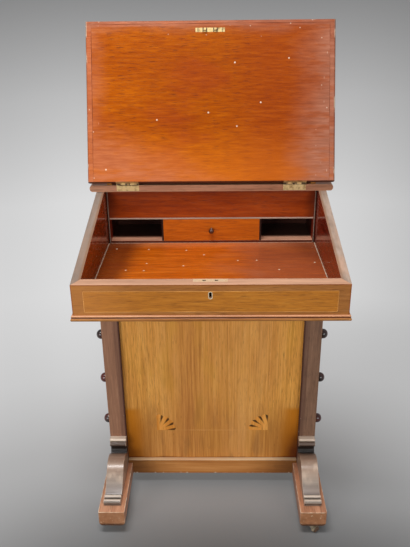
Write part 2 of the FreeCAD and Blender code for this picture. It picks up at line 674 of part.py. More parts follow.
def base_moulding():
    """A beaded moulding along the foot of the box's front and sides, mitred at the corners."""
    def section(out, up):
        return (out * MOULDING_PROUD, BOX_LOW + up * MOULDING_HEIGHT)

    steps = [section(0, 0), section(0.62, 0), (section(1, 0.28), section(0.62, 0.56)), section(0.4, 0.62),
             (section(0.72, 0.81), section(0.4, 1)), section(0, 1)]
    outer = HALF_BOX + MOULDING_PROUD
    outer_front = BOX_FRONT - MOULDING_PROUD
    front = profile_x([tuple((BOX_FRONT - a, z) for a, z in step) if isinstance(step[0], tuple)
                       else (BOX_FRONT - step[0], step[1]) for step in steps], -outer, outer)
    front = front.common(plan([(-outer, outer_front), (outer, outer_front), (HALF_BOX, BOX_FRONT),
                               (-HALF_BOX, BOX_FRONT)]))
    side = profile_y([tuple((HALF_BOX + a, z) for a, z in step) if isinstance(step[0], tuple)
                      else (HALF_BOX + step[0], step[1]) for step in steps], outer_front, BOX_BACK)
    side = side.common(plan([(outer, outer_front), (outer, BOX_BACK), (HALF_BOX, BOX_BACK),
                             (HALF_BOX, BOX_FRONT)]))
    save("base_moulding", [front] + both(side))


def top_board(hinge_cuts):
    back = BOX_BACK + TOP_OVERHANG
    board = block(-HALF_TOP, HALF_TOP, TOP_FRONT, back, TOP_UNDER, TOP_Z)
    board = rounded(board, TOP_ROUND, lambda p: (near(abs(p.x), HALF_TOP) or near(p.y, back))
                    and (near(p.z, TOP_UNDER) or near(p.z, TOP_Z)))
    save("top_board", without(board, hinge_cuts))


def pigeonholes():
    """Thin boards inside the box, under the top board, with a pen drawer in the middle."""
    shelf_low = FLOOR_TOP + SHELF_HEIGHT
    base_top = FLOOR_TOP + BASE_THICKNESS
    back = BACK_FACE - SIDE_FIT
    top = TOP_UNDER - SIDE_FIT
    save("pigeonhole_shelves",
         [block(-UPRIGHT_INNER, UPRIGHT_INNER, SHELF_FRONT, back, FLOOR_TOP, base_top),
          block(-UPRIGHT_INNER, UPRIGHT_INNER, SHELF_FRONT, back, shelf_low, shelf_low + SHELF_THICKNESS)])
    half = SHELF_THICKNESS / 2
    end_board = block(UPRIGHT_INNER, UPRIGHT_INNER + UPRIGHT_THICKNESS, SHELF_FRONT - FASCIA_RECESS, back,
                      FLOOR_TOP, top)
    divider = block(DIVIDER_CENTRE - half, DIVIDER_CENTRE + half, SHELF_FRONT, back, base_top, shelf_low)
    save("pigeonhole_uprights", both(end_board) + both(divider))
    fascia_front = SHELF_FRONT + FASCIA_RECESS
    save("fascia_panel", block(-UPRIGHT_INNER, UPRIGHT_INNER, fascia_front, fascia_front + FASCIA_THICKNESS,
                               shelf_low + SHELF_THICKNESS, top))

    width = 2 * (DIVIDER_CENTRE - half - PEN_DRAWER_PLAY)
    height = shelf_low - base_top - PEN_DRAWER_PLAY
    front, rest = drawer(width, height, PEN_DRAWER_DEPTH, PEN_FRONT, PEN_SIDE, PEN_BOTTOM, PEN_BOTTOM_LIFT,
                         PEN_DROP, PEN_TAILS)
    pull = moved(knob(PEN_KNOB_RADIUS, PEN_KNOB_REACH, SPIGOT_SHARE * PEN_FRONT), 0, 0, height / 2)

    def placed(shape):
        return moved(spun(shape, -90), 0, SHELF_FRONT, base_top)

    save("pen_drawer_front", placed(front.cut(pull)))
    save("pen_drawer_box", [placed(piece) for piece in rest])
    save("pen_drawer_knob", placed(pull))


# ---------------------------------------------------------------- slope
def slope_lid(hinge_cuts, link_cuts):
    """The writing slope, drawn shut and then opened: a panel, an edging on three sides, and the leather."""
    half = HALF_TOP
    low = FRONT_TOP + SLOPE_SEAT
    high = low + SLOPE_THICKNESS
    tip = BOX_FRONT - SLOPE_OVERHANG
    rear = BOX_FRONT + SLOPE_RUN + 2 * SLOPE_THICKNESS
    plumb = block(-BIG, BIG, TOP_FRONT - HINGE_GAP, BIG, 0, BIG)

    def finish(shape):
        return opened(without(on_slope(shape), [plumb] + hinge_cuts))

    inner = half - EDGING_WIDTH
    panel = block(-inner, inner, tip + EDGING_WIDTH, rear, low, high)
    leather_front = tip + LEATHER_MARGIN
    leather_back = BOX_FRONT + SLOPE_RUN / math.cos(math.radians(SLOPE_ANGLE)) - LEATHER_MARGIN
    leather = block(LEATHER_MARGIN - half, half - LEATHER_MARGIN, leather_front, leather_back,
                    high - LEATHER_THICKNESS, high)
    save("slope_panel", finish(without(panel, [leather] + link_cuts)))
    save("writing_leather", opened(on_slope(leather)))

    r = EDGING_ROUND
    c = r * (1 - math.sqrt(0.5))
    w = EDGING_WIDTH

    def section(flip):
        """The edging's section: (distance out from the panel, height), with its outer corners rounded."""
        return [flip(0, low), flip(w - r, low), (flip(w - c, low + c), flip(w, low + r)), flip(w, high - r),
                (flip(w - c, high - c), flip(w - r, high)), flip(0, high)]

    front = profile_x(section(lambda out, z: (tip + w - out, z)), -half, half)
    front = front.common(plan([(-half, tip), (half, tip), (inner, tip + w), (-inner, tip + w)]))
    side = profile_y(section(lambda out, z: (inner + out, z)), tip, rear)
    side = side.common(plan([(half, tip), (half, rear), (inner, rear), (inner, tip + w)]))
    save("slope_edging", [finish(piece) for piece in [front] + both(side)])


# ---------------------------------------------------------------- lock
def under_lock_plate():
    """Everything under the lock's plate, which lies in the slope of the box's edges."""
    return on_slope(block(-BIG, BIG, -BIG, BIG, -BIG, FRONT_TOP - LOCK_PLATE))


def keyhole(grow, y0, y1):
    """A slot with round ends, drawn along Y and grown all round."""
    radius = KEYHOLE_WIDTH / 2 + grow
    half = (KEYHOLE_HEIGHT - KEYHOLE_WIDTH) / 2
    z = FRONT_TOP - KEYHOLE_DROP
    ends = [rod(radius, V(0, y0, end), V(0, y1, end)) for end in (z - half, z + half)]
    return block(-radius, radius, y0, y1, z - half, z + half).multiFuse(ends).removeSplitter()


def lock_case():
    """A box lock let into the back of the front board, with its plate flush in the board's sloping edge.

    Returns the case, and what the board needs cut out of it."""
    half_plate = LOCK_LENGTH / 2
    half_case = LOCK_CASE_LENGTH / 2
    low = FRONT_TOP - LOCK_CASE_HEIGHT
    plate_y = (LOCK_LINE - LOCK_WIDTH / 2, LOCK_LINE + LOCK_WIDTH / 2)
    plate_low = FRONT_TOP - LOCK_PLATE
    mortise = on_slope(block(-half_plate, half_plate, plate_y[0], BIG, plate_low, BIG))
    plate = on_slope(block(-half_plate, half_plate, *plate_y, plate_low, FRONT_TOP))
    pocket = block(-half_case, half_case, LOCK_FACE, BOARD_INSIDE + BOARD, low, BIG)
    pocket = pocket.common(under_lock_plate())
    within_board = block(-BIG, BIG, -BIG, BOARD_INSIDE, 0, BIG)
    half_hollow = half_case - LOCK_WALL
    hollow = block(-half_hollow, half_hollow, LOCK_FACE + LOCK_WALL, BOARD_INSIDE - LOCK_WALL,
                   low + LOCK_WALL, BIG)
    hollow = hollow.common(under_lock_plate())
    slot_x = LINK_WIDTH / 2 + SIDE_FIT
    slot_y = LINK_THICKNESS / 2 + SIDE_FIT
    slots = [on_slope(block(x - slot_x, x + slot_x, LOCK_LINE - slot_y, LOCK_LINE + slot_y, 0, BIG))
             for x in LINK_XS]
    case = plate.fuse(pocket).removeSplitter().common(within_board)
    plate_slots = [slot.cut(under_lock_plate()) for slot in slots]
    case = without(case, [hollow, keyhole(0, BOX_FRONT, LOCK_FACE + LOCK_WALL)] + plate_slots)
    return case, [mortise, pocket]


def lock_bolt():
    """A bar with one hook for each link. It slides to the right until the hooks are through the links."""
    y0 = LOCK_FACE + LOCK_WALL + SIDE_FIT
    y1 = BOARD_INSIDE - LOCK_WALL - SIDE_FIT
    hook_low = LOCK_EDGE - HOOK_DROP
    hook_top = hook_low + BOLT_HEIGHT
    bar_top = LOCK_EDGE - BAR_DROP
    hooks = []
    for x in LINK_XS:
        tip = x - LINK_WIDTH / 2 - BOLT_GAP
        post = tip - BOLT_NOSE
        hooks.append(block(post - BOLT_POST, post, y0, y1, bar_top, hook_top))
        hooks.append(block(post, tip, y0, y1, hook_low, hook_top))
    ends = [shape.BoundBox.XMin for shape in hooks]
    bar = block(min(ends), max(ends), y0, y1, bar_top - BOLT_BAR, bar_top)
    return bar.multiFuse(hooks).removeSplitter()


def link_plate():
    """The plate under the slope's edge, with the two links that drop into the lock, drawn flat.

    Returns its pieces, and what the slope needs cut out of it."""
    low = FRONT_TOP + SLOPE_SEAT
    hook_low = FRONT_TOP - HOOK_DROP
    half = LOCK_LENGTH / 2
    half_width = LOCK_WIDTH / 2
    recess = block(-half, half, LOCK_LINE - half_width, LOCK_LINE + half_width, low, low + LOCK_PLATE)
    links = []
    for x in LINK_XS:
        link = block(x - LINK_WIDTH / 2, x + LINK_WIDTH / 2, LOCK_LINE - LINK_THICKNESS / 2,
                     LOCK_LINE + LINK_THICKNESS / 2, low - LINK_REACH, low)
        window = block(x - LINK_WIDTH, x + LINK_WIDTH / 2 - LINK_WALL, -BIG, BIG, hook_low - BOLT_GAP,
                       hook_low + BOLT_HEIGHT + BOLT_GAP)
        links.append(link.cut(window))
    screws = [screw(x, LOCK_LINE, low, V(0, 0, 1)) for x in (-LINK_SCREW_X, 0, LINK_SCREW_X)]
    holes = [hole for _, hole in screws]
    plate = without(recess.multiFuse(links).removeSplitter(), holes)
    return [plate] + [body for body, _ in screws], [recess] + holes


def lock():
    """Saves the lock and its fittings. Returns what the front board and the slope need cut out of them."""
    case, board_cuts = lock_case()
    plate, slope_cuts = link_plate()
    through = keyhole(0, BOX_FRONT - BOARD, LOCK_FACE)
    ring = keyhole(ESCUTCHEON_WALL, BOX_FRONT, BOX_FRONT + ESCUTCHEON_DEPTH)
    save("lock_case", case)
    save("lock_bolt", lock_bolt())
    save("link_plate", [opened(on_slope(piece)) for piece in plate])
    save("keyhole_escutcheon", ring.cut(through))
    return board_cuts + [ring, through], slope_cuts


# ---------------------------------------------------------------- stationery case
def open_slope_y(z):
    """Where the back of the open slope stands at height z."""
    seat = FRONT_TOP + SLOPE_SEAT / math.cos(math.radians(SLOPE_ANGLE))
    surface = seat + SLOPE_THICKNESS / math.cos(math.radians(SLOPE_ANGLE)) + SLOPE_RISE
    offset = (SLOPE_AXIS[1] - surface) * math.cos(math.radians(SLOPE_ANGLE))
    offset -= (TOP_FRONT - SLOPE_AXIS[0]) * math.sin(math.radians(SLOPE_ANGLE))
    lean = math.radians(OPEN_LEAN)
    return SLOPE_AXIS[0] - offset / math.cos(lean) + (z - SLOPE_AXIS[1]) * math.tan(lean)


def stationery_case(hinge_cuts, lid_cuts):
    lid_low = CASE_TOP - CASE_LID_THICKNESS
    cheek_top = TOP_Z + CHEEK_HEIGHT
    front = block(-CASE_INNER, CASE_INNER, CASE_FRONT, CASE_FRONT + CASE_FRONT_THICKNESS, TOP_Z, lid_low)
    back = block(-CASE_INNER, CASE_INNER, BACK_FACE, BOX_BACK, TOP_Z, CASE_TOP)
    foot_y = open_slope_y(TOP_Z) + CASE_BOARD
    head_y = open_slope_y(cheek_top) + CHEEK_GAP
    bow = 0.25 * CASE_BOARD
    middle = ((foot_y + head_y) / 2 + bow, (TOP_Z + cheek_top) / 2)
    corner = 2 * CASE_BOARD
    bulge = corner * (1 - math.sqrt(0.5))
    cheek = profile_x([(foot_y, TOP_Z), (middle, (head_y, cheek_top)), (BOX_BACK - corner, cheek_top),
                       ((BOX_BACK - bulge, cheek_top - bulge), (BOX_BACK, cheek_top - corner)),
                       (BOX_BACK, TOP_Z)], CASE_INNER, HALF_CASE)
    half = CASE_DIVIDER / 2
    dividers = both(block(CASE_DIVIDER_X - half, CASE_DIVIDER_X + half, CASE_FRONT + CASE_FRONT_THICKNESS,
                          BACK_FACE, TOP_Z, lid_low - CASE_DIVIDER_DROP))
    save("stationery_case", [front, without(back, hinge_cuts)] + both(cheek) + dividers)

    reach = CASE_INNER - SIDE_FIT
    lid_front = CASE_FRONT - CASE_LID_LIP
    lid = block(-reach, reach, lid_front, BACK_FACE - HINGE_GAP, lid_low + SIDE_FIT, CASE_TOP)
    lid = rounded(lid, CASE_LID_ROUND, lambda p: near(p.y, lid_front) and near(p.x, 0))
    save("stationery_lid", without(lid, lid_cuts))


def build():
    os.makedirs("parts", exist_ok=True)
    slope_x = HALF_TOP - HINGE_INSET
    case_x = HALF_CASE - TOP_HINGE_INSET
    slope_hinges = [butt_hinge(x, HINGE_LENGTH, SLOPE_AXIS, HINGE_RISE, LEAF_WIDTH, HINGE_SCREWS)
                    for x in (-slope_x, slope_x)]
    case_hinges = [butt_hinge(x, TOP_HINGE_LENGTH, CASE_AXIS, TOP_HINGE_RISE, TOP_LEAF_WIDTH,
                              TOP_HINGE_SCREWS) for x in (-case_x, case_x)]

    def gathered(hinges, key):
        return [piece for hinge in hinges for piece in hinge[key]]

    casters()
    feet()
    scroll_brackets()
    pedestal()
    drawer_frame()
    side_drawers()
    front_cuts, panel_cuts = lock()
    box_carcass(front_cuts)
    base_moulding()
    top_board(gathered(slope_hinges, "fixed_cuts"))
    pigeonholes()
    slope_cuts = gathered(slope_hinges, "moving_cuts")
    slope_lid(slope_cuts, panel_cuts)
    stationery_case(gathered(case_hinges, "fixed_cuts"), gathered(case_hinges, "moving_cuts"))
    save("hinge_leaves_fixed", gathered(slope_hinges, "fixed") + gathered(case_hinges, "fixed"))
    save("hinge_leaves_slope", [opened(piece) for piece in gathered(slope_hinges, "moving")])
    save("hinge_leaves_stationery_lid", gathered(case_hinges, "moving"))


build()
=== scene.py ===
"""The finish of a davenport desk: its woods, inlays, leather and brass, over the solids of its frame.

Metres, in the row frame: X to the right, Y to the back, Z up, with the floor at z = 0.
"""

import json
import math

import bmesh
import bpy
from mathutils import Matrix, Vector


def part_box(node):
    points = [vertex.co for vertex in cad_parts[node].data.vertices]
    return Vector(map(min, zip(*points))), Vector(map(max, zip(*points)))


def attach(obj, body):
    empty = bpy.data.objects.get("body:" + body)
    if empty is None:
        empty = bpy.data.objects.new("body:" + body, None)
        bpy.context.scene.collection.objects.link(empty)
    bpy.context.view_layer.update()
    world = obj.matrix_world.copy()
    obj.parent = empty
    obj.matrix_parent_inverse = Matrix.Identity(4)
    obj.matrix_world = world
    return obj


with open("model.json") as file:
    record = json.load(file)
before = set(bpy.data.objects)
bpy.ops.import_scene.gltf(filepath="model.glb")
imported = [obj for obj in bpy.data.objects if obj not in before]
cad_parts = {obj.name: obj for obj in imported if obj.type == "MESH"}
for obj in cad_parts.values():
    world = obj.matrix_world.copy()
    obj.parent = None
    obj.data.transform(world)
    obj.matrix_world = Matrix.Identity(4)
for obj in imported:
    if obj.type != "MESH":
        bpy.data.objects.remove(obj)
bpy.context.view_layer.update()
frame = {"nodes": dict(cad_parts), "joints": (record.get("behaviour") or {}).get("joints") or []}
NODES = frame["nodes"]
MM = 0.001

# ---------------------------------------------------------------- camera
CAMERA_PLACE = Vector((0.0122, -1.430, 1.2144))
CAMERA_PITCH = math.radians(24.4)       # below the horizon
CAMERA_YAW = math.radians(1.1)          # to the left of +Y
CAMERA_ROLL = math.radians(-0.7)
FOCAL_PIXELS = 650.0
IMAGE_HEIGHT = 547.0
SENSOR = 36.0


def camera():
    """A camera at the height of someone who stands before the desk."""
    cos_yaw, sin_yaw = math.cos(CAMERA_YAW), math.sin(CAMERA_YAW)
    cos_pitch, sin_pitch = math.cos(CAMERA_PITCH), math.sin(CAMERA_PITCH)
    level = Vector((cos_yaw, sin_yaw, 0.0))
    ahead = Vector((-sin_yaw * cos_pitch, cos_yaw * cos_pitch, -sin_pitch))
    upright = level.cross(ahead)
    right = math.cos(CAMERA_ROLL) * level + math.sin(CAMERA_ROLL) * upright
    up = math.cos(CAMERA_ROLL) * upright - math.sin(CAMERA_ROLL) * level
    data = bpy.data.cameras.new("camera")
    data.sensor_width = SENSOR
    data.lens = FOCAL_PIXELS / IMAGE_HEIGHT * SENSOR
    made = bpy.data.objects.new("camera", data)
    bpy.context.scene.collection.objects.link(made)
    made.matrix_world = Matrix.Translation(CAMERA_PLACE) @ Matrix((right, up, -ahead)).transposed().to_4x4()
    bpy.context.scene.camera = made


# ---------------------------------------------------------------- shader maths
def colour(red, green, blue):
    """A colour given as it is seen, 0 to 255, made linear."""
    def linear(value):
        value /= 255
        return value / 12.92 if value <= 0.04045 else ((value + 0.055) / 1.055) ** 2.4
    return (linear(red), linear(green), linear(blue), 1.0)


class Socket:
    """An output of a shader node. Arithmetic on it adds Math nodes."""

    def __init__(self, paint, output):
        self.paint = paint
        self.output = output

    def __add__(self, other):
        return self.paint.maths("ADD", self, other)

    def __sub__(self, other):
        return self.paint.maths("SUBTRACT", self, other)

    def __rsub__(self, other):
        return self.paint.maths("SUBTRACT", other, self)

    def __mul__(self, other):
        return self.paint.maths("MULTIPLY", self, other)

    def __truediv__(self, other):
        return self.paint.maths("DIVIDE", self, other)

    def __rtruediv__(self, other):
        return self.paint.maths("DIVIDE", other, self)

    def __neg__(self):
        return self.paint.maths("MULTIPLY", self, -1.0)

    def __abs__(self):
        return self.paint.maths("ABSOLUTE", self)

    def least(self, other):
        return self.paint.maths("MINIMUM", self, other)

    def most(self, other):
        return self.paint.maths("MAXIMUM", self, other)

    __radd__ = __add__
    __rmul__ = __mul__


SEED_STEPS = (3.1, 5.3, 7.7)            # how far a seed moves a pattern along each axis
SPECK_STEP = 3.7                        # and how many cells it moves specks


class Paint:
    """A material being made, with the coordinates and facing of the piece it is on."""

    def __init__(self, name):
        self.material = bpy.data.materials.new(name)
        self.material.use_nodes = True
        self.tree = self.material.node_tree
        self.tree.nodes.clear()
        self.place = self.node("ShaderNodeTexCoord", output="Object")
        self.facing = self.node("ShaderNodeTexCoord", output="Normal")

    def node(self, kind, settings=None, inputs=None, output=0):
        """Adds a node: its settings first, then the values and links of its sockets."""
        made = self.tree.nodes.new(kind)
        for key, value in (settings or {}).items():
            if key == "stops":
                while len(made.color_ramp.elements) < len(value):
                    made.color_ramp.elements.new(1.0)
                for element, (position, tone) in zip(made.color_ramp.elements, value):
                    element.position = position
                    element.color = tone
            else:
                setattr(made, key, value)
        for key, value in (inputs or {}).items():
            if isinstance(value, Socket):
                self.tree.links.new(value.output, made.inputs[key])
            else:
                made.inputs[key].default_value = value
        return Socket(self, made.outputs[output]) if made.outputs else None

    def axes(self, vector):
        """The three numbers of a vector."""
        split = self.node("ShaderNodeSeparateXYZ", inputs={0: vector})
        return [Socket(self, output) for output in split.output.node.outputs]

    def maths(self, operation, *values):
        """Arithmetic on numbers."""
        return self.node("ShaderNodeMath", {"operation": operation}, dict(enumerate(values)))

    def vector(self, operation, *values, output=0):
        """Arithmetic on places or colours."""
        return self.node("ShaderNodeVectorMath", {"operation": operation}, dict(enumerate(values)), output)

    def mix(self, share, a, b):
        """Colour a with a share of colour b laid over it."""
        return self.node("ShaderNodeMix", {"data_type": "RGBA"}, {0: share, 6: a, 7: b}, 2)

    def shade(self, tone, factor):
        """A colour made lighter or darker by a number."""
        grey = self.node("ShaderNodeCombineXYZ", inputs={0: factor, 1: factor, 2: factor})
        return self.vector("MULTIPLY", tone, grey)

    def rise(self, value, low, high):
        """0 below low, 1 above high and a smooth step between them."""
        return self.node("ShaderNodeMapRange", {"interpolation_type": "SMOOTHSTEP"},
                         {"Value": value, "From Min": low, "From Max": high})

    def fall(self, value, low, high):
        """1 below low, 0 above high and a smooth step between them."""
        return 1.0 - self.rise(value, low, high)

    def line(self, value, at, inner, outer):
        """1 where a value is within inner of a place, and 0 where it is further off than outer."""
        return self.fall(abs(value - at), inner, outer)

    def ramp(self, value, *tones):
        """Tones spread evenly from 0 to 1."""
        stops = [(i / (len(tones) - 1), tone) for i, tone in enumerate(tones)]
        return self.node("ShaderNodeValToRGB", {"stops": stops}, {0: value})

    def stretched(self, place, scale, seed=0.0):
        """A place multiplied axis by axis and moved by a seed, so that pieces don't repeat each other."""
        return self.vector("MULTIPLY_ADD", place, scale, [seed * step for step in SEED_STEPS])

    def noise(self, place, scale, seed=0.0, detail=3.0, rough=0.5, output=0):
        """Cloudy noise. The scales say how fine it is along each axis, as blots to a metre."""
        inputs = {"Vector": self.stretched(place, scale, seed), "Scale": 1.0,
                  "Detail": detail, "Roughness": rough}
        return self.node("ShaderNodeTexNoise", {}, inputs, output)

    def specks(self, across, up, cell, radius, share, seed=0.0, stretch=1.0):
        """Small marks on a flat face, 1 in the middle of some of its cells.

        radius is a part of a cell, share says how many cells have a mark, and stretch makes them taller.
        """
        cells = self.node("ShaderNodeCombineXYZ",
                          inputs={0: across / cell + seed * SPECK_STEP, 1: up / (cell * stretch)})
        settings, inputs = {"voronoi_dimensions": "2D"}, {"Vector": cells, "Scale": 1.0}
        distance = self.node("ShaderNodeTexVoronoi", settings, inputs)
        chance = self.axes(self.node("ShaderNodeTexVoronoi", settings, inputs, "Color"))[0]
        return self.fall(distance, radius * 0.6, radius) * self.fall(chance, share, share * 1.05)

    def distance(self, a, b):
        """How far one place is from another."""
        return self.vector("DISTANCE", a, b, output="Value")

    def wavered(self, place, scale, amount, seed=0.0):
        """A place pushed about by slow noise, so that straight grain wanders."""
        push = self.noise(place, scale, seed, 2.0, 0.5, "Color")
        centred = self.vector("SUBTRACT", push, (0.5, 0.5, 0.5))
        return self.vector("MULTIPLY_ADD", centred, (amount, amount, amount), place)

    def edge_gap(self, place, low, high):
        """How far a point on a box is from the box's nearest edge."""
        gaps = []
        for value, start, end in zip(self.axes(place), low, high):
            gaps.append((value - start).least(end - value))
        a, b, c = gaps
        return a.least(b).most(a.most(b).least(c))

    def relief(self, height, depth):
        """A surface raised and sunk by a height of 0 to 1, times a depth."""
        return self.node("ShaderNodeBump", {}, {"Height": height, "Distance": depth, "Strength": 1.0})

    def done(self, inputs):
        """The finished material."""
        surface = self.node("ShaderNodeBsdfPrincipled", {}, inputs)
        self.node("ShaderNodeOutputMaterial", {}, {"Surface": surface})
        return self.material


# ---------------------------------------------------------------- woods
ALONG = {"x": (1, 0, 0), "y": (0, 1, 0), "z": (0, 0, 1)}


def grain_scale(axis, along, across):
    """Noise scales that draw a pattern out along the grain."""
    return tuple(along if share else across for share in ALONG[axis])


class Timber:
    """The colour and the pores of a sawn and polished board, whose grain runs along one axis.

    wave is how far the grain wanders, and stripe how many stripes a metre has across the grain. drawn is
    the same along the grain, as a part of stripe. A small spread gives more contrast, and pores and
    streaks say how strongly these darken the wood.
    """

    def __init__(self, paint, axis, palette, seed, place=None, wave=4 * MM, stripe=55.0, spread=0.2,
                 pores=0.5, streaks=0.3, drawn=0.05):
        self.paint = paint
        place = place or paint.place
        bent = paint.wavered(place, grain_scale(axis, 3.0, 9.0), wave, seed)
        fine = paint.noise(bent, grain_scale(axis, drawn * stripe, stripe), seed, 5.0, 0.62)
        broad = paint.noise(bent, grain_scale(axis, 1.3, 9.0), seed + 4, 2.0)
        self.figure = paint.rise(fine * 0.65 + broad * 0.35, 0.5 - spread, 0.5 + spread)
        self.pores = paint.rise(paint.noise(place, grain_scale(axis, 40.0, 800.0), seed + 9, 1.0), 0.56, 0.72)
        streak = paint.noise(bent, grain_scale(axis, 4 * drawn * stripe, 2.6 * stripe), seed + 6, 4.0, 0.6)
        streak = paint.rise(streak, 0.55, 0.7)
        dark = tuple(0.35 * c for c in palette[0][:3]) + (1.0,)
        shade = (self.pores * pores).most(streak * streaks)
        self.colour = paint.mix(shade, self.toned(palette), dark)

    def toned(self, palette):
        """The figure of the wood in other tones, without its pores and streaks."""
        return self.paint.ramp(self.figure, *palette)


def polished(paint, tone, timber, roughness=0.42, gloss=0.2, coat=0.08, coat_roughness=0.2,
             depth=0.12 * MM, wear=0.0):
    """Polish over wood: the pores are a little open, and worn places are duller."""
    rough = roughness + timber.pores * 0.15 - timber.figure * 0.05 + wear * 0.2
    return paint.done({"Base Color": tone, "Roughness": rough, "Specular IOR Level": gloss,
                       "Coat Weight": coat, "Coat Roughness": coat_roughness,
                       "Normal": paint.relief(timber.figure * 0.25 - timber.pores, depth)})


def tones(*colours):
    """A palette, from dark to light."""
    return [colour(*each) for each in colours]


AMBER = tones((124, 44, 0), (158, 74, 2), (190, 102, 8))
ROSE = tones((146, 70, 36), (174, 96, 58), (196, 120, 82))
HAZE = tones((124, 76, 56), (154, 98, 76), (178, 122, 100))
RUSSET = tones((118, 40, 8), (146, 58, 14), (168, 76, 24))
OXBLOOD = tones((100, 30, 16), (132, 44, 22), (156, 62, 34))
TANGERINE = tones((152, 66, 8), (184, 90, 12), (206, 110, 28))
ORANGE = tones((156, 66, 8), (192, 90, 12), (214, 114, 30))
HONEY = tones((188, 126, 54), (224, 158, 74), (246, 186, 98))
NUT = tones((140, 84, 30), (172, 111, 42), (194, 132, 58))
GOLDEN = tones((176, 120, 40), (206, 146, 56), (228, 170, 76))
GOLD = tones((140, 82, 24), (170, 106, 34), (192, 130, 50))
BROWN = tones((104, 66, 36), (136, 90, 52), (160, 110, 68))
MARGIN = tones((124, 74, 30), (148, 94, 44), (168, 114, 60))
LEDGE = tones((244, 196, 150), (255, 226, 182), (255, 240, 210))
BARK = tones((100, 72, 56), (132, 98, 76), (158, 122, 98))
PINK_BROWN = tones((142, 98, 72), (176, 122, 92), (200, 148, 116))
DEAL = tones((150, 108, 62), (180, 136, 84), (204, 160, 106))
BEAD = tones((166, 112, 80), (190, 134, 98), (212, 158, 120))
BARE = tones((162, 108, 84), (196, 140, 112), (216, 166, 136))
RUBBED = tones((172, 130, 104), (200, 154, 124), (220, 180, 152))
FADED = tones((128, 108, 94), (156, 134, 118), (184, 162, 146))
WHITENED = tones((206, 182, 160), (232, 212, 192), (244, 230, 214))
TAUPE = tones((94, 81, 70), (122, 108, 97), (148, 134, 122))
KNOB = tones((52, 24, 14), (76, 36, 20), (100, 52, 30))
SOOT = tones((26, 18, 16), (42, 26, 22), (70, 38, 32))
CHIP = colour(228, 212, 188)
TAN = tones((160, 94, 44), (194, 128, 66), (214, 152, 90))
SATINWOOD = tones((200, 124, 44), (226, 148, 62), (238, 168, 84))
BOXWOOD = tones((190, 128, 64), (222, 160, 90), (238, 184, 116))
HIDE = tones((20, 34, 22), (30, 48, 30), (46, 62, 38))
GLAZE = tones((58, 38, 26), (84, 58, 40), (116, 84, 60))
STAIN = colour(186, 110, 14)
BURNT = colour(84, 32, 16)
SCORCHED = colour(44, 24, 12)
GILT = colour(176, 136, 62)


def worn(paint, low, high, seed, reach=3 * MM):
    """1 along the edges of a box, with a ragged inner side, where the polish has gone thin."""
    gap = paint.edge_gap(paint.place, low, high)
    ragged = paint.noise(paint.place, (60, 60, 60), seed, 3.0)
    return paint.fall(gap + ragged * 3 * MM, 1.2 * MM, 1.2 * MM + reach)


def board(name, axis, palette, seed, wear=0.5, roughness=0.42, gloss=0.2, coat=0.08, **more):
    """A plain board, with edges a little lighter where the polish has worn."""
    low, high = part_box(name)
    paint = Paint(name)
    timber = Timber(paint, axis, palette, seed, **more)
    edge = worn(paint, low, high, seed) * wear
    tone = paint.mix(edge, timber.colour, palette[-1])
    return polished(paint, tone, timber, roughness, gloss, coat, wear=edge)


# ---------------------------------------------------------------- slope
LEAN = math.radians(20.7)               # the open slope's lean past upright
HINGE_LINE = next(Vector(j["pos_m"]) for j in frame["joints"] if j["name"] == "slope_hinge")
HALF_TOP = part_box("slope_edging")[1].x
EDGING_WIDTH = 14 * MM
LEATHER_MARGIN = 48 * MM                # edge of the slope to the leather
GILT_LINES = ((10 * MM, 0.6 * MM, 0.9 * MM), (14 * MM, 0.2 * MM, 0.45 * MM))   # in from the leather's edge
SLOPE_LENGTH = (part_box("slope_edging")[1].z - HINGE_LINE.z) / math.cos(LEAN)


def on_slope(paint):
    """A place on the open slope: x, then through its thickness, then up from the hinge."""
    turned = paint.node("ShaderNodeVectorRotate", {"rotation_type": "X_AXIS"},
                        {"Vector": paint.place, "Center": HINGE_LINE, "Angle": LEAN})
    return paint.vector("SUBTRACT", turned, HINGE_LINE)


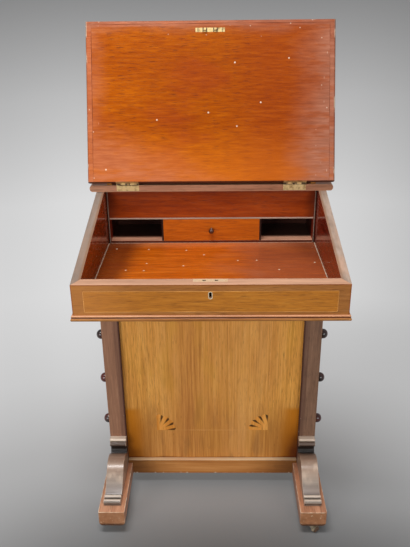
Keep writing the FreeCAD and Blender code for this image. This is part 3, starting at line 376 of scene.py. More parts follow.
def slope_wood(name, palette, seed):
    """Mahogany, rosy and scuffed towards its edges, with painted shade towards the right, along its rim, at
    its lower end and where it faces down. Its other side, the top when shut, is brown.
    """
    paint = Paint(name)
    place = on_slope(paint)
    x, _, up = paint.axes(place)
    timber = Timber(paint, "x", palette, seed, place, wave=6 * MM, stripe=170.0, spread=0.4, pores=0.7,
                    streaks=0.2, drawn=0.11)
    side = HALF_TOP - abs(x)
    tip = SLOPE_LENGTH - up
    drift = (paint.noise(place, (9, 9, 9), seed, 3.0) - 0.5) * 90 * MM
    left = paint.fall(x + HALF_TOP + drift * 0.7, -4 * MM, 62 * MM)
    right = paint.fall(HALF_TOP - x + drift + up * 0.12, 20 * MM, 150 * MM)
    top = paint.fall(tip + drift * 0.4, 0, 45 * MM)
    low_left = paint.fall((x + HALF_TOP) * 0.36 + up * 0.7 + drift * 0.6, 50 * MM, 150 * MM)
    patchy = paint.rise(paint.noise(place, (16, 16, 60), seed + 8, 4.0, 0.6), 0.36, 0.56) * 0.5 + 0.5
    red = paint.rise(paint.noise(place, (6, 6, 10), seed + 7, 3.0), 0.48, 0.66)
    red = red.most(paint.rise(x, 0, 160 * MM)) * 0.6
    tone = paint.mix(red, timber.colour, timber.toned(RUSSET))
    tone = paint.mix(paint.fall(up, 0, 150 * MM) * 0.4, tone, ORANGE[-1])
    # painted shade: the lid grows darker towards the right, as the light falls
    tone = paint.shade(tone, 1.0 - x * 0.4)
    tone = paint.mix(left.most(low_left) * patchy * 0.9, tone, timber.toned(ROSE))
    tone = paint.mix((right * 0.95).most(top * 0.8) * patchy, tone, timber.toned(HAZE))
    border = side.least(tip)
    seam = paint.line(border, EDGING_WIDTH, 0.3 * MM, 1.0 * MM)
    broken = paint.rise(paint.noise(place, (11, 11, 11), seed + 5, 2.0), 0.4, 0.6)
    tone = paint.mix(seam * (broken * 0.75 + 0.1), tone, BURNT)
    near = paint.fall(border, 20 * MM, 60 * MM)
    scuff = paint.specks(x, up, 13 * MM, 0.14, 0.05, seed) * near
    near_side = paint.fall(side, 12 * MM, 45 * MM)
    scratch = paint.specks(x, up, 7 * MM, 0.1, 0.07, seed + 1, 5.0) * near_side
    streak = paint.specks(up, x, 7 * MM, 0.12, 0.08, seed + 4, 7.0) * paint.fall(tip, 8 * MM, 20 * MM)
    chip = paint.specks(x, up, 62 * MM, 0.04, 0.11, seed + 2)
    rubbed = paint.rise(paint.noise(place, (60, 60, 25), seed + 3, 4.0), 0.5, 0.62)
    rubbed = rubbed * paint.fall(border, 1.5 * MM, 4.5 * MM)
    marks = (scuff.most(scratch).most(streak) * 0.6).most(chip).most(rubbed)
    tone = paint.mix(marks * 0.75, tone, CHIP)
    # darker at its lower end: darker end grain, with painted shade
    tone = paint.mix(paint.fall(up, 1 * MM, 3 * MM), tone, BURNT)
    # painted shade along the outer rim, where the rounded edge turns away from the light
    rim = paint.fall(border.least(up + 2 * MM), 0.5 * MM, 2.5 * MM)
    tone = paint.mix(rim * 0.5, tone, BURNT)
    _, facing_y, facing_z = paint.axes(paint.facing)
    # faces that face down are painted dark as shade
    tone = paint.mix(paint.rise(-facing_z, 0.5, 0.8) * 0.85, tone, SOOT[-1])
    behind = paint.rise(facing_y, 0.3, 0.6)
    tone = paint.mix(behind, tone, timber.toned(BROWN))
    return polished(paint, tone, timber, 0.36, 0.06, 0.02, 0.16, wear=marks)


def leather(name):
    """Dark green hide with a fine grain, and two gilt lines round its edge."""
    paint = Paint(name)
    place = on_slope(paint)
    x, _, up = paint.axes(place)
    low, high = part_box(name)
    up_low = (low.z - HINGE_LINE.z) / math.cos(LEAN)
    inset = (high.x - abs(x)).least(up - up_low).least(SLOPE_LENGTH - LEATHER_MARGIN - up)
    fine = paint.stretched(place, (900, 900, 900))
    grain = paint.node("ShaderNodeTexVoronoi", {}, {"Vector": fine, "Scale": 1.0})
    tone = paint.ramp(paint.noise(place, (9, 9, 9), 3.0, 4.0), *HIDE)
    broad_line, thin_line = [paint.line(inset, *each) for each in GILT_LINES]
    gilt = broad_line.most(thin_line)
    gilt = gilt * paint.rise(paint.noise(place, (200, 200, 200), 5.0), 0.34, 0.44)
    return paint.done({"Base Color": paint.mix(gilt, tone, GILT), "Roughness": 0.55 - gilt * 0.2,
                       "Metallic": gilt * 0.8, "Normal": paint.relief(grain - gilt * 0.5, 0.15 * MM)})


# ---------------------------------------------------------------- writing box
BOX_SLOPE = math.radians(12.58)         # the sides' top edges, down towards the front
FACE_DROP = 5 * MM                      # front board's inner top edge down to just below its face's top edge
FRONT_MARGIN = 14 * MM                  # from there down to its string line
FRONT_STRING_X = 257 * MM               # middle of the front board to its upright string lines
FRONT_STRING_LOW = 598 * MM             # its lower string line, above the floor
STRING_WIDTH = 1.0 * MM
HALF_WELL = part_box("box_side_right")[0].x
PIGEONHOLE_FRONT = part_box("pigeonhole_shelves")[0].y
PIGEONHOLE_SHADE = (26 * MM, 40 * MM)   # painted shadow of the shelves: the boards darken between these distances from their front edges


def box_front(name):
    """Golden walnut with a browner margin outside the string line, bare and pale along its top edge, and
    painted shadow along its ends and just under its face's top.
    """
    low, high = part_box(name)
    paint = Paint(name)
    x, _, z = paint.axes(paint.place)
    _, facing_y, facing_z = paint.axes(paint.facing)
    veneer = Timber(paint, "x", GOLD, 3.0, wave=5 * MM, stripe=230.0, spread=0.34, streaks=0.2, drawn=0.06)
    margin = Timber(paint, "x", MARGIN, 5.0, stripe=160.0, spread=0.34, streaks=0.15)
    inside = Timber(paint, "x", OXBLOOD, 6.0)
    bare = Timber(paint, "x", RUBBED, 6.5, pores=0.2)
    face_top = high.z - FACE_DROP
    field = (FRONT_STRING_X - abs(x)).least(z - FRONT_STRING_LOW).least(face_top - FRONT_MARGIN - z)
    tone = paint.mix(paint.rise(field, -0.5 * MM, 0.5 * MM), margin.colour, veneer.colour)
    tone = paint.mix(paint.fall(x, low.x, -120 * MM) * 0.4, tone, TAN[1])
    # painted shadow along the ends and just under the face's top edge
    rim = paint.rise(abs(x), high.x - 2.5 * MM, high.x - 1.5 * MM)
    rim = rim.most(paint.rise(z, face_top - 1.5 * MM, face_top - 0.5 * MM))
    tone = paint.mix(rim * 0.5, tone, RUSSET[0])
    tone = paint.mix(paint.rise(facing_y, 0.4, 0.7), tone, inside.colour)
    edge = paint.rise(facing_z, 0.5, 0.8)
    tone = paint.mix(edge, tone, bare.colour)
    return polished(paint, tone, veneer, 0.36, wear=edge)


def box_side(name, outward):
    """A side of the box: veneered outside, dark and polished inside, bare and grey along its sloping edge."""
    low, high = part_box(name)
    paint = Paint(name)
    facing_x, _, facing_z = paint.axes(paint.facing)
    veneer = Timber(paint, "y", NUT, 8.0 + outward, wave=10 * MM)
    inside = Timber(paint, "y", OXBLOOD if outward > 0 else RUSSET, 11.0 + outward)
    bare = Timber(paint, "y", FADED, 12.0 + outward, pores=0.2)
    tone = paint.mix(worn(paint, low, high, 9.0, 1 * MM) * 0.4, veneer.colour, NUT[-1])
    within = paint.rise(facing_x * -outward, 0.5, 0.8)
    tone = paint.mix(within, tone, inside.colour)
    edge = paint.rise(facing_z, 0.5, 0.8)
    patch = paint.rise(paint.noise(paint.place, (20, 8, 8), 13.0 + outward, 3.0), 0.45, 0.65)
    shaded = 0.3 - 0.3 * outward
    tone = paint.mix(edge, tone, paint.mix(patch * 0.45, bare.colour, RUBBED[1]))
    tone = paint.mix(edge * shaded, tone, TAUPE[1])
    inner = paint.fall(abs(paint.axes(paint.place)[0]) - HALF_WELL, 3 * MM, 7 * MM)
    tone = paint.mix(edge * inner * 0.5, tone, BROWN[1])
    return polished(paint, tone, veneer, 0.36 - within * 0.16, 0.35, 0.25, 0.1, wear=edge)


def box_floor(name):
    """The floor of the well, browner towards its ends, with pale lines where it meets the boards round it."""
    paint = Paint(name)
    x, y, _ = paint.axes(paint.place)
    timber = Timber(paint, "x", ORANGE, 14.0, wave=6 * MM, stripe=120.0, spread=0.26, streaks=0.2, drawn=0.08)
    drift = (paint.noise(paint.place, (7, 7, 7), 15.0, 3.0) - 0.5) * 110 * MM
    left = paint.fall(x - y * 0.1 + drift * 0.4, -222 * MM, -165 * MM)
    right = paint.rise(x + drift, 20 * MM, 130 * MM)
    tone = paint.mix(right * 0.6, timber.colour, timber.toned(RUSSET))
    rosy = paint.rise(paint.noise(paint.place, (6, 9, 9), 16.0, 3.0), 0.46, 0.64)
    rosy = rosy * paint.rise(x, -40 * MM, 60 * MM)
    tone = paint.mix(rosy * 0.5, tone, ROSE[1])
    tone = paint.mix(right * 0.3, tone, HAZE[1])
    dusty = paint.fall(PIGEONHOLE_FRONT - y + drift * 0.3, 5 * MM, 45 * MM)
    tone = paint.mix(dusty * 0.4, tone, ROSE[-1])
    tone = paint.mix((left * 0.75).most(paint.rise(x + y * 0.5, 200 * MM, 300 * MM) * 0.5), tone, BURNT)
    join = (HALF_WELL - abs(x)).least(PIGEONHOLE_FRONT - y)
    ragged = (paint.noise(paint.place, (90, 90, 90), 17.0, 3.0) - 0.5) * 2 * MM
    line = paint.fall(join + ragged, 0.8 * MM, 1.6 * MM)
    chip = paint.specks(x, y, 44 * MM, 0.06, 0.2, 18.0)
    tone = paint.mix((line * 0.7).most(chip), tone, CHIP)
    under = paint.rise(-paint.axes(paint.facing)[2], 0.4, 0.7)
    tone = paint.mix(under, tone, timber.toned(DEAL))
    return polished(paint, tone, timber, 0.3, 0.3, 0.12, 0.12)


def base_moulding(name):
    """An upper bead, rubbed and painted lighter as a highlight, over a hollow painted dark as shade, and a
    browner lower bead.
    """
    low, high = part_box(name)
    paint = Paint(name)
    _, _, z = paint.axes(paint.place)
    timber = Timber(paint, "x", MARGIN, 16.0)
    share = (z - low.z) / (high.z - low.z)
    # the upper bead, painted lighter as a highlight
    tone = paint.mix(paint.rise(share, 0.79, 0.85), timber.colour, timber.toned(BEAD))
    # the hollow between the beads, painted dark as shade
    groove_shade = paint.line(share, 0.62, 0.06, 0.14)
    tone = paint.mix(groove_shade * 0.9, tone, BURNT)
    return polished(paint, tone, timber)


def box_back(name):
    """Walnut outside; inside, behind the pigeonholes, painted nearly black as shade."""
    paint = Paint(name)
    timber = Timber(paint, "x", BROWN, 15.0)
    # the inside face is painted nearly black as shade
    inside = paint.rise(-paint.axes(paint.facing)[1], 0.4, 0.7)
    return polished(paint, paint.mix(inside * 0.94, timber.colour, SOOT[-1]), timber)


def pigeonhole_shelves(name):
    """Thin boards, bare on top of the lower one and painted nearly black as shade further in. The upper one's
    front edge is pale, the lower one's dark.
    """
    low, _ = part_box(name)
    paint = Paint(name)
    _, y, z = paint.axes(paint.place)
    _, facing_y, facing_z = paint.axes(paint.facing)
    timber = Timber(paint, "x", RUSSET, 13.5)
    bare = Timber(paint, "x", BARE, 13.6)
    upper = paint.rise(z - low.z, 20 * MM, 21 * MM)
    # painted shadow, further in from the front edges
    shelf_shadow = paint.rise(y - low.y, *PIGEONHOLE_SHADE)
    tone = paint.mix(paint.rise(facing_z, 0.5, 0.8) * (1.0 - upper), timber.colour, bare.colour)
    tone = paint.mix(shelf_shadow * 0.92, tone, SOOT[1])
    edge = paint.mix(upper, BURNT, bare.toned(FADED))
    tone = paint.mix(paint.rise(-facing_y, 0.5, 0.8), tone, edge)
    return polished(paint, tone, timber, 0.4, 0.3, 0.15)


def pigeonhole_uprights(name):
    """Thin upright boards, dark at the front and painted nearly black as shade further in, with a rubbed line
    down the two outer ones.
    """
    low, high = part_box(name)
    paint = Paint(name)
    x, y, _ = paint.axes(paint.place)
    timber = Timber(paint, "z", OXBLOOD, 13.7)
    line = paint.line(abs(x), high.x - 3.6 * MM, 0.5 * MM, 1.1 * MM)
    edge = paint.mix(line * 0.8, SOOT[1], FADED[1])
    # painted shadow, further in from the front edges
    tone = paint.mix(paint.rise(y - low.y, *PIGEONHOLE_SHADE) * 0.9, timber.colour, SOOT[0])
    tone = paint.mix(paint.rise(-paint.axes(paint.facing)[1], 0.5, 0.8), tone, edge)
    return polished(paint, tone, timber, 0.4)


def fascia_panel(name):
    """Red-brown mahogany, darker at its two ends, with a painted shadow of the top board along its top."""
    _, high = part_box(name)
    paint = Paint(name)
    x, _, z = paint.axes(paint.place)
    timber = Timber(paint, "x", RUSSET, 13.0, wave=6 * MM, stripe=90.0, spread=0.28, streaks=0.1, drawn=0.1)
    end = paint.rise(abs(x), high.x - 30 * MM, high.x) * 0.7
    # painted shadow of the top board along the top
    shaded = paint.rise(z, high.z - 22 * MM, high.z - 6 * MM) * 0.4
    return polished(paint, paint.mix(end.most(shaded), timber.colour, BURNT), timber, 0.34)


def stationery_wood(name, inner):
    """Walnut whose grain runs across the desk, and from front to back in the cheeks."""
    paint = Paint(name)
    low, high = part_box(name)
    across = Timber(paint, "x", NUT, 17.0)
    along = Timber(paint, "y", NUT, 18.0)
    cheek = paint.rise(abs(paint.axes(paint.place)[0]), inner - 0.1 * MM, inner)
    tone = paint.mix(cheek, across.colour, along.colour)
    edge = worn(paint, low, high, 17.0) * 0.5
    return polished(paint, paint.mix(edge, tone, NUT[-1]), across, wear=edge)


# ---------------------------------------------------------------- pedestal
PANEL_TONGUE = 6 * MM                   # the panel's edge that is hidden in the posts


def post(name, side):
    """A dark post, darker still on its inner side with a painted shadow along the edge next to the panel, and
    a pale worn line along its outer edge.

    side is -1 for the left post, which is pinker, and 1 for the right one.
    """
    low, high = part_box(name)
    paint = Paint(name)
    x, _, z = paint.axes(paint.place)
    timber = Timber(paint, "z", BARK, 20.0 + side, wave=3 * MM, stripe=200.0, spread=0.36, streaks=0.3)
    outward = (x - 0.5 * (low.x + high.x)) * side
    outer = paint.rise(outward, -10 * MM, -6 * MM)
    tone = paint.mix(0.2 - 0.2 * side, timber.colour, timber.toned(PINK_BROWN))
    tone = paint.mix((1.0 - outer) * 0.4, tone, SOOT[-1])
    # painted shadow along the inner edge, where the post meets the panel
    tone = paint.mix(paint.fall(outward + 0.5 * (high.x - low.x), 1 * MM, 5 * MM), tone, SOOT[-1])
    edge = worn(paint, low, high, 21.0, 1 * MM) * paint.rise(outward, 0, 5 * MM) * 0.6
    chip = paint.specks(x, z, 40 * MM, 0.04, 0.1, 21.5)
    tone = paint.mix(edge.most(chip), tone, FADED[0])
    return polished(paint, tone, timber, 0.45, 0.3, 0.15, wear=edge)


def front_panel(name):
    """A golden walnut panel with upright grain, dark flecks and old stains in its lower corners."""
    low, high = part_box(name)
    paint = Paint(name)
    x, _, z = paint.axes(paint.place)
    timber = Timber(paint, "z", HONEY, 24.0, wave=4 * MM, stripe=330.0, spread=0.28, streaks=0.35, drawn=0.02)
    reach = high.x - PANEL_TONGUE
    cloud = paint.noise(paint.place, (12, 12, 4), 25.0, 4.0)
    middle = paint.fall(abs(x), 70 * MM, 200 * MM) * 0.5
    tan = timber.toned(TAN)
    tone = paint.mix(middle + paint.rise(cloud, 0.45, 0.7) * 0.3, timber.colour, tan)
    gold = paint.rise(paint.noise(paint.place, (14, 14, 5), 27.0, 3.0), 0.52, 0.66)
    tone = paint.mix(gold * 0.45, tone, timber.toned(GOLDEN))
    low_part = paint.fall(z, low.z + 40 * MM, low.z + 210 * MM)
    tone = paint.mix(low_part * 0.55, tone, tan)
    ruddy = paint.rise(paint.noise(paint.place, (40, 40, 9), 28.0, 4.0), 0.5, 0.7)
    tone = paint.mix(ruddy * (low_part * 0.3 + 0.15), tone, BROWN[1])
    side_part = paint.rise(abs(x), reach - 110 * MM, reach - 20 * MM) * low_part
    tone = paint.mix(side_part * 0.65, tone, NUT[0])
    fleck = paint.specks(x, z, 7 * MM, 0.12, 0.05, 26.0, 7.0)
    tone = paint.mix(fleck * 0.4, tone, BROWN[0])
    inward = reach - abs(x) + (cloud - 0.5) * 40 * MM
    stain = paint.fall(inward, 10 * MM, 52 * MM)
    stain = stain * paint.fall(z + cloud * 12 * MM, 228 * MM, 244 * MM)
    tone = paint.mix(stain * 0.85, tone, STAIN)
    burnt = paint.fall(inward, 0, 40 * MM) * paint.fall(z, 90 * MM, 220 * MM)
    tone = paint.mix(burnt * (paint.rise(x, -10 * MM, 10 * MM) * 0.3 + 0.6), tone, BURNT)
    # a dark line where the panel meets the plinth: dirt, with painted shade in the corner
    foot_line = paint.fall(z - low.z + (cloud - 0.5) * 12 * MM, 1 * MM, 4 * MM)
    tone = paint.mix(foot_line * 0.6, tone, BURNT)
    return polished(paint, tone, timber, 0.36, 0.15)


def plinth(name):
    """The rails under the panels, with a top edge painted light as if lit from above, and chips along the
    lower one.
    """
    low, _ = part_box(name)
    paint = Paint(name)
    x, _, z = paint.axes(paint.place)
    timber = Timber(paint, "x", MARGIN, 28.0, streaks=0.5)
    gold = paint.fall(abs(x), 60 * MM, 200 * MM)
    tone = paint.mix(gold * 0.8, timber.colour, timber.toned(TAN))
    # painted light on the up-facing top edge
    tone = paint.mix(paint.rise(paint.axes(paint.facing)[2], 0.5, 0.8), tone, timber.toned(LEDGE))
    tone = paint.mix(paint.rise(abs(x), 130 * MM, 225 * MM) * 0.5, tone, BROWN[0])
    chipped = paint.rise(paint.noise(paint.place, (110, 30, 30), 29.0, 3.0), 0.61, 0.65)
    chipped = chipped * paint.fall(z - low.z, 1.5 * MM, 4 * MM)
    return polished(paint, paint.mix(chipped, tone, CHIP), timber, wear=chipped)


def drawer_front(name, seed):
    """A walnut veneered front, grain lying level."""
    low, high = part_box(name)
    paint = Paint(name)
    timber = Timber(paint, "y", NUT, seed, wave=12 * MM)
    edge = worn(paint, low, high, seed) * 0.5
    return polished(paint, paint.mix(edge, timber.colour, NUT[-1]), timber, 0.36, wear=edge)


def foot(name, seed):
    """A foot with end grain on its front, a bright rubbed line along its edges, and dirt and painted shade
    low down.
    """
    low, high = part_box(name)
    paint = Paint(name)
    _, _, z = paint.axes(paint.place)
    timber = Timber(paint, "y", PINK_BROWN, seed, streaks=0.5)
    end = paint.rise(-paint.axes(paint.facing)[1], 0.5, 0.8)
    rings = paint.noise(paint.place, (60, 20, 160), seed, 4.0)
    tone = paint.mix(end * 0.6, timber.colour, paint.ramp(rings, *BROWN))
    edge = worn(paint, low, high, seed, 1.5 * MM) * 0.7
    scuff = paint.rise(paint.noise(paint.place, (140, 140, 140), seed + 2, 4.0, 0.6), 0.6, 0.7) * end * 0.3
    edge = edge.most(scuff)
    tone = paint.mix(edge, tone, LEDGE[-1])
    # darker low down: dirt, with painted shade towards the floor
    grime = paint.fall(z - low.z - rings * 12 * MM, -2 * MM, 4 * MM)
    return polished(paint, paint.mix(grime * 0.8, tone, SOOT[1]), timber, wear=edge)


def ebonised(name, seed):
    """Black polish with a red-brown warmth where it has rubbed thin."""
    paint = Paint(name)
    timber = Timber(paint, "x", SOOT, seed)
    thin = paint.rise(paint.noise(paint.place, (30, 30, 30), seed, 4.0), 0.4, 0.66)
    tone = paint.mix(thin * 0.8, timber.colour, OXBLOOD[0])
    return polished(paint, tone, timber, 0.26, 0.5, 0.6, 0.16, depth=0.02 * MM)


def scroll(name, seed):
    """Ebonised wood gone taupe, with a pale cap and rubbed edges.

    Its hollow and the faces that face down are painted black as shade, and a band under its cap, the low end
    of its front and the lines between its beads darker. Painted highlights lie across its front and along its
    beads' tops.
    """
    low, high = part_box(name)
    paint = Paint(name)
    x, y, z = paint.axes(paint.place)
    timber = Timber(paint, "x", TAUPE, seed, stripe=40.0, streaks=0.1, pores=0.15)
    up = (z - low.z) / (high.z - low.z)
    forward = (high.y - y) / (high.y - low.y)
    ruddy = paint.rise(up, 0.3, 0.62)
    tone = paint.mix(ruddy * 0.6, timber.colour, timber.toned(BARK))
    # the hollow and the faces that face down are painted dark as shade
    hollow = paint.fall(forward, 0.1, 0.2) * paint.rise(up, 0.4, 0.5) * paint.fall(up, 0.74, 0.8)
    under = paint.fall(paint.axes(paint.facing)[2], -0.3, 0.1)
    tone = paint.mix((hollow * 0.95).most(under * 0.8), tone, SOOT[0])
    # a band just under the cap, painted darker as its shadow
    bead = paint.rise(up, 0.76, 0.8) * paint.fall(up, 0.88, 0.9)
    tone = paint.mix(bead * 0.5, tone, SOOT[1])
    tone = paint.mix(paint.rise(up, 0.9, 0.93), tone, timber.toned(WHITENED))
    # the low end of the front, painted darker as shade
    sweep_end_shade = paint.rise(forward, 0.66, 0.82) * paint.fall(forward, 0.84, 0.86)
    tone = paint.mix(sweep_end_shade * 0.4, tone, SOOT[-1])
    # a painted highlight across the upper front, in patches
    patch = paint.rise(paint.noise(paint.place, (45, 30, 30), seed + 2, 3.0), 0.45, 0.65)
    sweep_highlight = paint.rise(forward, 0.36, 0.46) * paint.fall(forward, 0.58, 0.76)
    tone = paint.mix(sweep_highlight * (patch * 0.35 + 0.15), tone, WHITENED[0])
    # painted highlights along the beads' tops and painted shade in the lines between them
    crest_highlight = paint.line(forward, 0.885, 0.008, 0.022).most(paint.line(forward, 0.962, 0.01, 0.026))
    groove_shade = paint.line(forward, 0.846, 0.01, 0.02).most(paint.line(forward, 0.928, 0.006, 0.016))
    tone = paint.mix(crest_highlight * 0.5, tone, WHITENED[1])
    tone = paint.mix(groove_shade * 0.85, tone, SOOT[0])
    edge = (x - low.x).least(high.x - x) + (timber.figure - 0.5) * 1.5 * MM
    rubbed = paint.fall(edge, 0.8 * MM, 2.2 * MM) * (1.0 - hollow)
    tone = paint.mix(rubbed * 0.5, tone, FADED[1])
    coat = 0.4 - hollow.most(sweep_end_shade) * 0.4
    return polished(paint, tone, timber, 0.32, 0.45, coat, 0.26, depth=0.02 * MM)


# ---------------------------------------------------------------- metal and ceramic
LINK_X = 12.5 * MM                      # middle of the desk to the middle of a link
END_SCREW_X = 29 * MM                   # and to the link plate's end screws


def metal(name, seed, bright, dull, grime=None):
    """Old metal: bright where it is rubbed, brown and rough where it isn't, black under a mask of dirt and
    painted shade.
    """
    paint = Paint(name)
    tarnish = paint.rise(paint.noise(paint.place, (90, 90, 90), seed, 2.0), 0.4, 0.8)
    scratch = paint.noise(paint.place, (900, 60, 900), seed + 1, 2.0)
    tone = paint.mix(tarnish, bright, dull)
    if grime:
        # the mask paints dirt, and shade into slots, gaps and holes
        tone = paint.mix(grime(paint) * 0.9, tone, SOOT[1])
    return paint.done({"Base Color": tone, "Metallic": 0.6 - tarnish * 0.2,
                       "Roughness": 0.34 + tarnish * 0.3 + scratch * 0.1,
                       "Normal": paint.relief(scratch - tarnish * 0.4, 0.02 * MM)})


def above_top_board(paint):
    """The knuckles of the hinges, which stand clear of the top board: darkened as dirt and as painted shade,
    with spots left bright.
    """
    board_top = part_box("top_board")[1].z
    spots = paint.rise(paint.noise(paint.place, (260, 260, 260), 51.0, 2.0), 0.5, 0.6)
    return paint.rise(paint.axes(paint.place)[2], board_top - 1 * MM, board_top) * (1.0 - spots * 0.6)


def inside_lock(paint):
    """What shows through the lock's slots and its keyhole, under the sloping face of its plate, painted dark
    as shade.
    """
    _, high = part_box("lock_case")
    _, y, z = paint.axes(paint.place)
    depth = high.z - (high.y - y) * math.tan(BOX_SLOPE) - z
    return paint.rise(depth, 0.3 * MM, 1.0 * MM)


def round_links(paint):
    """The sides of the two links and the slots of the end screws, painted dark as shade."""
    across = abs(paint.axes(paint.place)[0])
    link = abs(across - LINK_X)
    beside = paint.rise(link, 2.4 * MM, 3.2 * MM) * paint.fall(link, 5 * MM, 6.5 * MM)
    return (beside * 0.9).most(paint.line(across, END_SCREW_X, 1 * MM, 2.5 * MM) * 0.6)


BRASS = (colour(226, 202, 146), colour(150, 118, 68))
DULL_BRASS = (colour(198, 174, 118), colour(140, 112, 66))
GREY_BRASS = (colour(186, 172, 148), colour(116, 104, 84))
PALE_BRASS = (colour(240, 210, 172), colour(196, 164, 126))
BONE = (colour(232, 214, 182), colour(160, 140, 110))
STEEL = (colour(196, 196, 194), colour(112, 100, 90))


def ceramic(name, seed):
    """Brown glazed stoneware, scratched where it has rolled."""
    paint = Paint(name)
    glaze = paint.noise(paint.place, (120, 120, 120), seed, 4.0)
    scratch = paint.rise(paint.noise(paint.place, (300, 900, 900), seed + 1, 2.0), 0.55, 0.7)
    return paint.done({"Base Color": paint.ramp(glaze, *GLAZE), "Roughness": 0.2 + scratch * 0.35,
                       "Coat Weight": 0.4, "Normal": paint.relief(glaze - scratch * 0.3, 0.05 * MM)})


# ---------------------------------------------------------------- inlays
PANEL_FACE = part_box("pedestal_front_panel")[0].y
FRONT_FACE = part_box("box_front")[0].y
INLAY_PROUD = 0.1 * MM                  # how far an inlay stands out of the wood
INLAY_DEPTH = 0.4 * MM
STRING_X = 141 * MM                     # middle of the panel to its upright lines and the fans' corners
STRING_LOW = 165 * MM                   # the panel's level lines and the same corners, above the floor
STRING_HIGH = 541 * MM
FAN_RADIUS = 45 * MM
FAN_SCALLOP = 4.5 * MM                  # how far a petal's tip bulges past the radius
PETALS = 4
PETAL_STEPS = 10


def flat_piece(name, outlines, face, material):
    """Thin plates let into an upright face, each from an (x, z) outline."""
    made = bmesh.new()
    for points in outlines:
        front = [made.verts.new((x, face - INLAY_PROUD, z)) for x, z in points]
        back = [made.verts.new((x, face - INLAY_PROUD + INLAY_DEPTH, z)) for x, z in points]
        made.faces.new(front)
        for i in range(len(points)):
            j = (i + 1) % len(points)
            made.faces.new((front[j], front[i], back[i], back[j]))
    bmesh.ops.recalc_face_normals(made, faces=made.faces)
    mesh = bpy.data.meshes.new(name)
    made.to_mesh(mesh)
    made.free()
    piece = bpy.data.objects.new(name, mesh)
    bpy.context.scene.collection.objects.link(piece)
    mesh.materials.append(material)
    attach(piece, "desk")


def petals(corner_x, corner_z, quarter):
    """The petals of a fan that fills one quarter of a circle, counted round from +X."""
    outlines = []
    for i in range(PETALS):
        points = [(corner_x, corner_z)]
        for step in range(PETAL_STEPS + 1):
            share = step / PETAL_STEPS
            angle = math.radians(90 * (quarter + (i + share) / PETALS))
            radius = FAN_RADIUS + FAN_SCALLOP * math.sin(math.pi * share)
            points.append((corner_x + radius * math.cos(angle), corner_z + radius * math.sin(angle)))
        outlines.append(points)
    return outlines


def fan_wood(name, corner_x, corner_z, seed):
    """Satinwood petals, each scorched along one side, darkest at the rim."""
    paint = Paint(name)
    x, _, z = paint.axes(paint.place)
    dx, dz = x - corner_x, z - corner_z
    radius = paint.maths("SQRT", dx * dx + dz * dz)
    round_in_petals = paint.maths("ARCTAN2", dz, dx) * (PETALS / math.radians(90)) + 4 * PETALS
    share = paint.maths("FRACT", round_in_petals)
    timber = Timber(paint, "z", SATINWOOD, seed)
    reach = paint.rise(radius, 0.25 * FAN_RADIUS, FAN_RADIUS)
    scorch = paint.fall(share - reach * 0.34, -0.06, 0.1)
    tone = paint.mix(scorch * reach.least(0.9), timber.colour, SCORCHED)
    return polished(paint, tone, timber, 0.36)


def string_wood():
    """Boxwood line, stained in places to the tone of the walnut round it."""
    paint = Paint("string_inlay")
    timber = Timber(paint, "x", BOXWOOD, 40.0)
    faded = paint.rise(paint.noise(paint.place, (12, 12, 12), 41.0, 3.0), 0.4, 0.6)
    return polished(paint, paint.mix(faded * 0.6, timber.colour, GOLD[1]), timber, 0.36)


def strip(x0, z0, x1, z1):
    """A level or upright line of string, from its left or lower end to its other end."""
    half = 0.5 * STRING_WIDTH
    return [(x0 - half, z0 - half), (x1 + half, z0 - half), (x1 + half, z1 + half), (x0 - half, z1 + half)]


def inlays():
    """The fans in the panel's corners, the string lines between them and those of the front board."""
    corners = (("lower_left", -1, STRING_LOW, 0), ("lower_right", 1, STRING_LOW, 1),
               ("upper_right", 1, STRING_HIGH, 2), ("upper_left", -1, STRING_HIGH, 3))
    for seed, (place, side, z, quarter) in enumerate(corners, start=30):
        name = "fan_inlay_" + place
        flat_piece(name, petals(side * STRING_X, z, quarter), PANEL_FACE,
                   fan_wood(name, side * STRING_X, z, seed))
    string = string_wood()
    inner = STRING_X - FAN_RADIUS
    panel = [strip(-inner, z, inner, z) for z in (STRING_LOW, STRING_HIGH)]
    panel += [strip(x, STRING_LOW + FAN_RADIUS, x, STRING_HIGH - FAN_RADIUS) for x in (-STRING_X, STRING_X)]
    flat_piece("panel_stringing", panel, PANEL_FACE, string)
    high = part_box("box_front")[1].z - FACE_DROP - FRONT_MARGIN
    front = [strip(-FRONT_STRING_X, z, FRONT_STRING_X, z) for z in (FRONT_STRING_LOW, high)]
    front += [strip(x, FRONT_STRING_LOW, x, high) for x in (-FRONT_STRING_X, FRONT_STRING_X)]
    flat_piece("front_stringing", front, FRONT_FACE, string)


# ---------------------------------------------------------------- putting finishes on the frame's nodes
WOOD_EASE = 0.8 * MM                    # what is taken off the edges of stout pieces
THIN_EASE = 0.4 * MM                    # and off those of thin boards
EASED_FROM = math.radians(25)           # only edges that turn more than this are eased
ONE_POINT = 0.002 * MM                  # points closer than this are joined
ONE_FACE = math.radians(0.5)            # and so are faces that turn less than this


def eased(node, width):
    """Takes the sharpness off a node's edges, as sandpaper and years do."""
    weld = node.modifiers.new("weld", "WELD")
    weld.merge_threshold = ONE_POINT
    flat = node.modifiers.new("flat", "DECIMATE")
    flat.decimate_type = "DISSOLVE"
    flat.angle_limit = ONE_FACE
    bevel = node.modifiers.new("bevel", "BEVEL")
    bevel.width = width
    bevel.segments = 2
    bevel.limit_method = "ANGLE"
    bevel.angle_limit = EASED_FROM
    bevel.harden_normals = False
    shading = node.modifiers.new("shading", "WEIGHTED_NORMAL")
    shading.keep_sharp = False
    shading.weight = 100


def dress(name, finish, *values, ease=0.0, **more):
    """Puts a finish on a node, and eases its edges where ease isn't 0.

    finish is the function that makes the material, from the node's name and the values.
    """
    node = NODES[name]
    material = finish(name, *values, **more)
    for slot in node.material_slots:
        slot.material = material
    if ease:
        eased(node, ease)


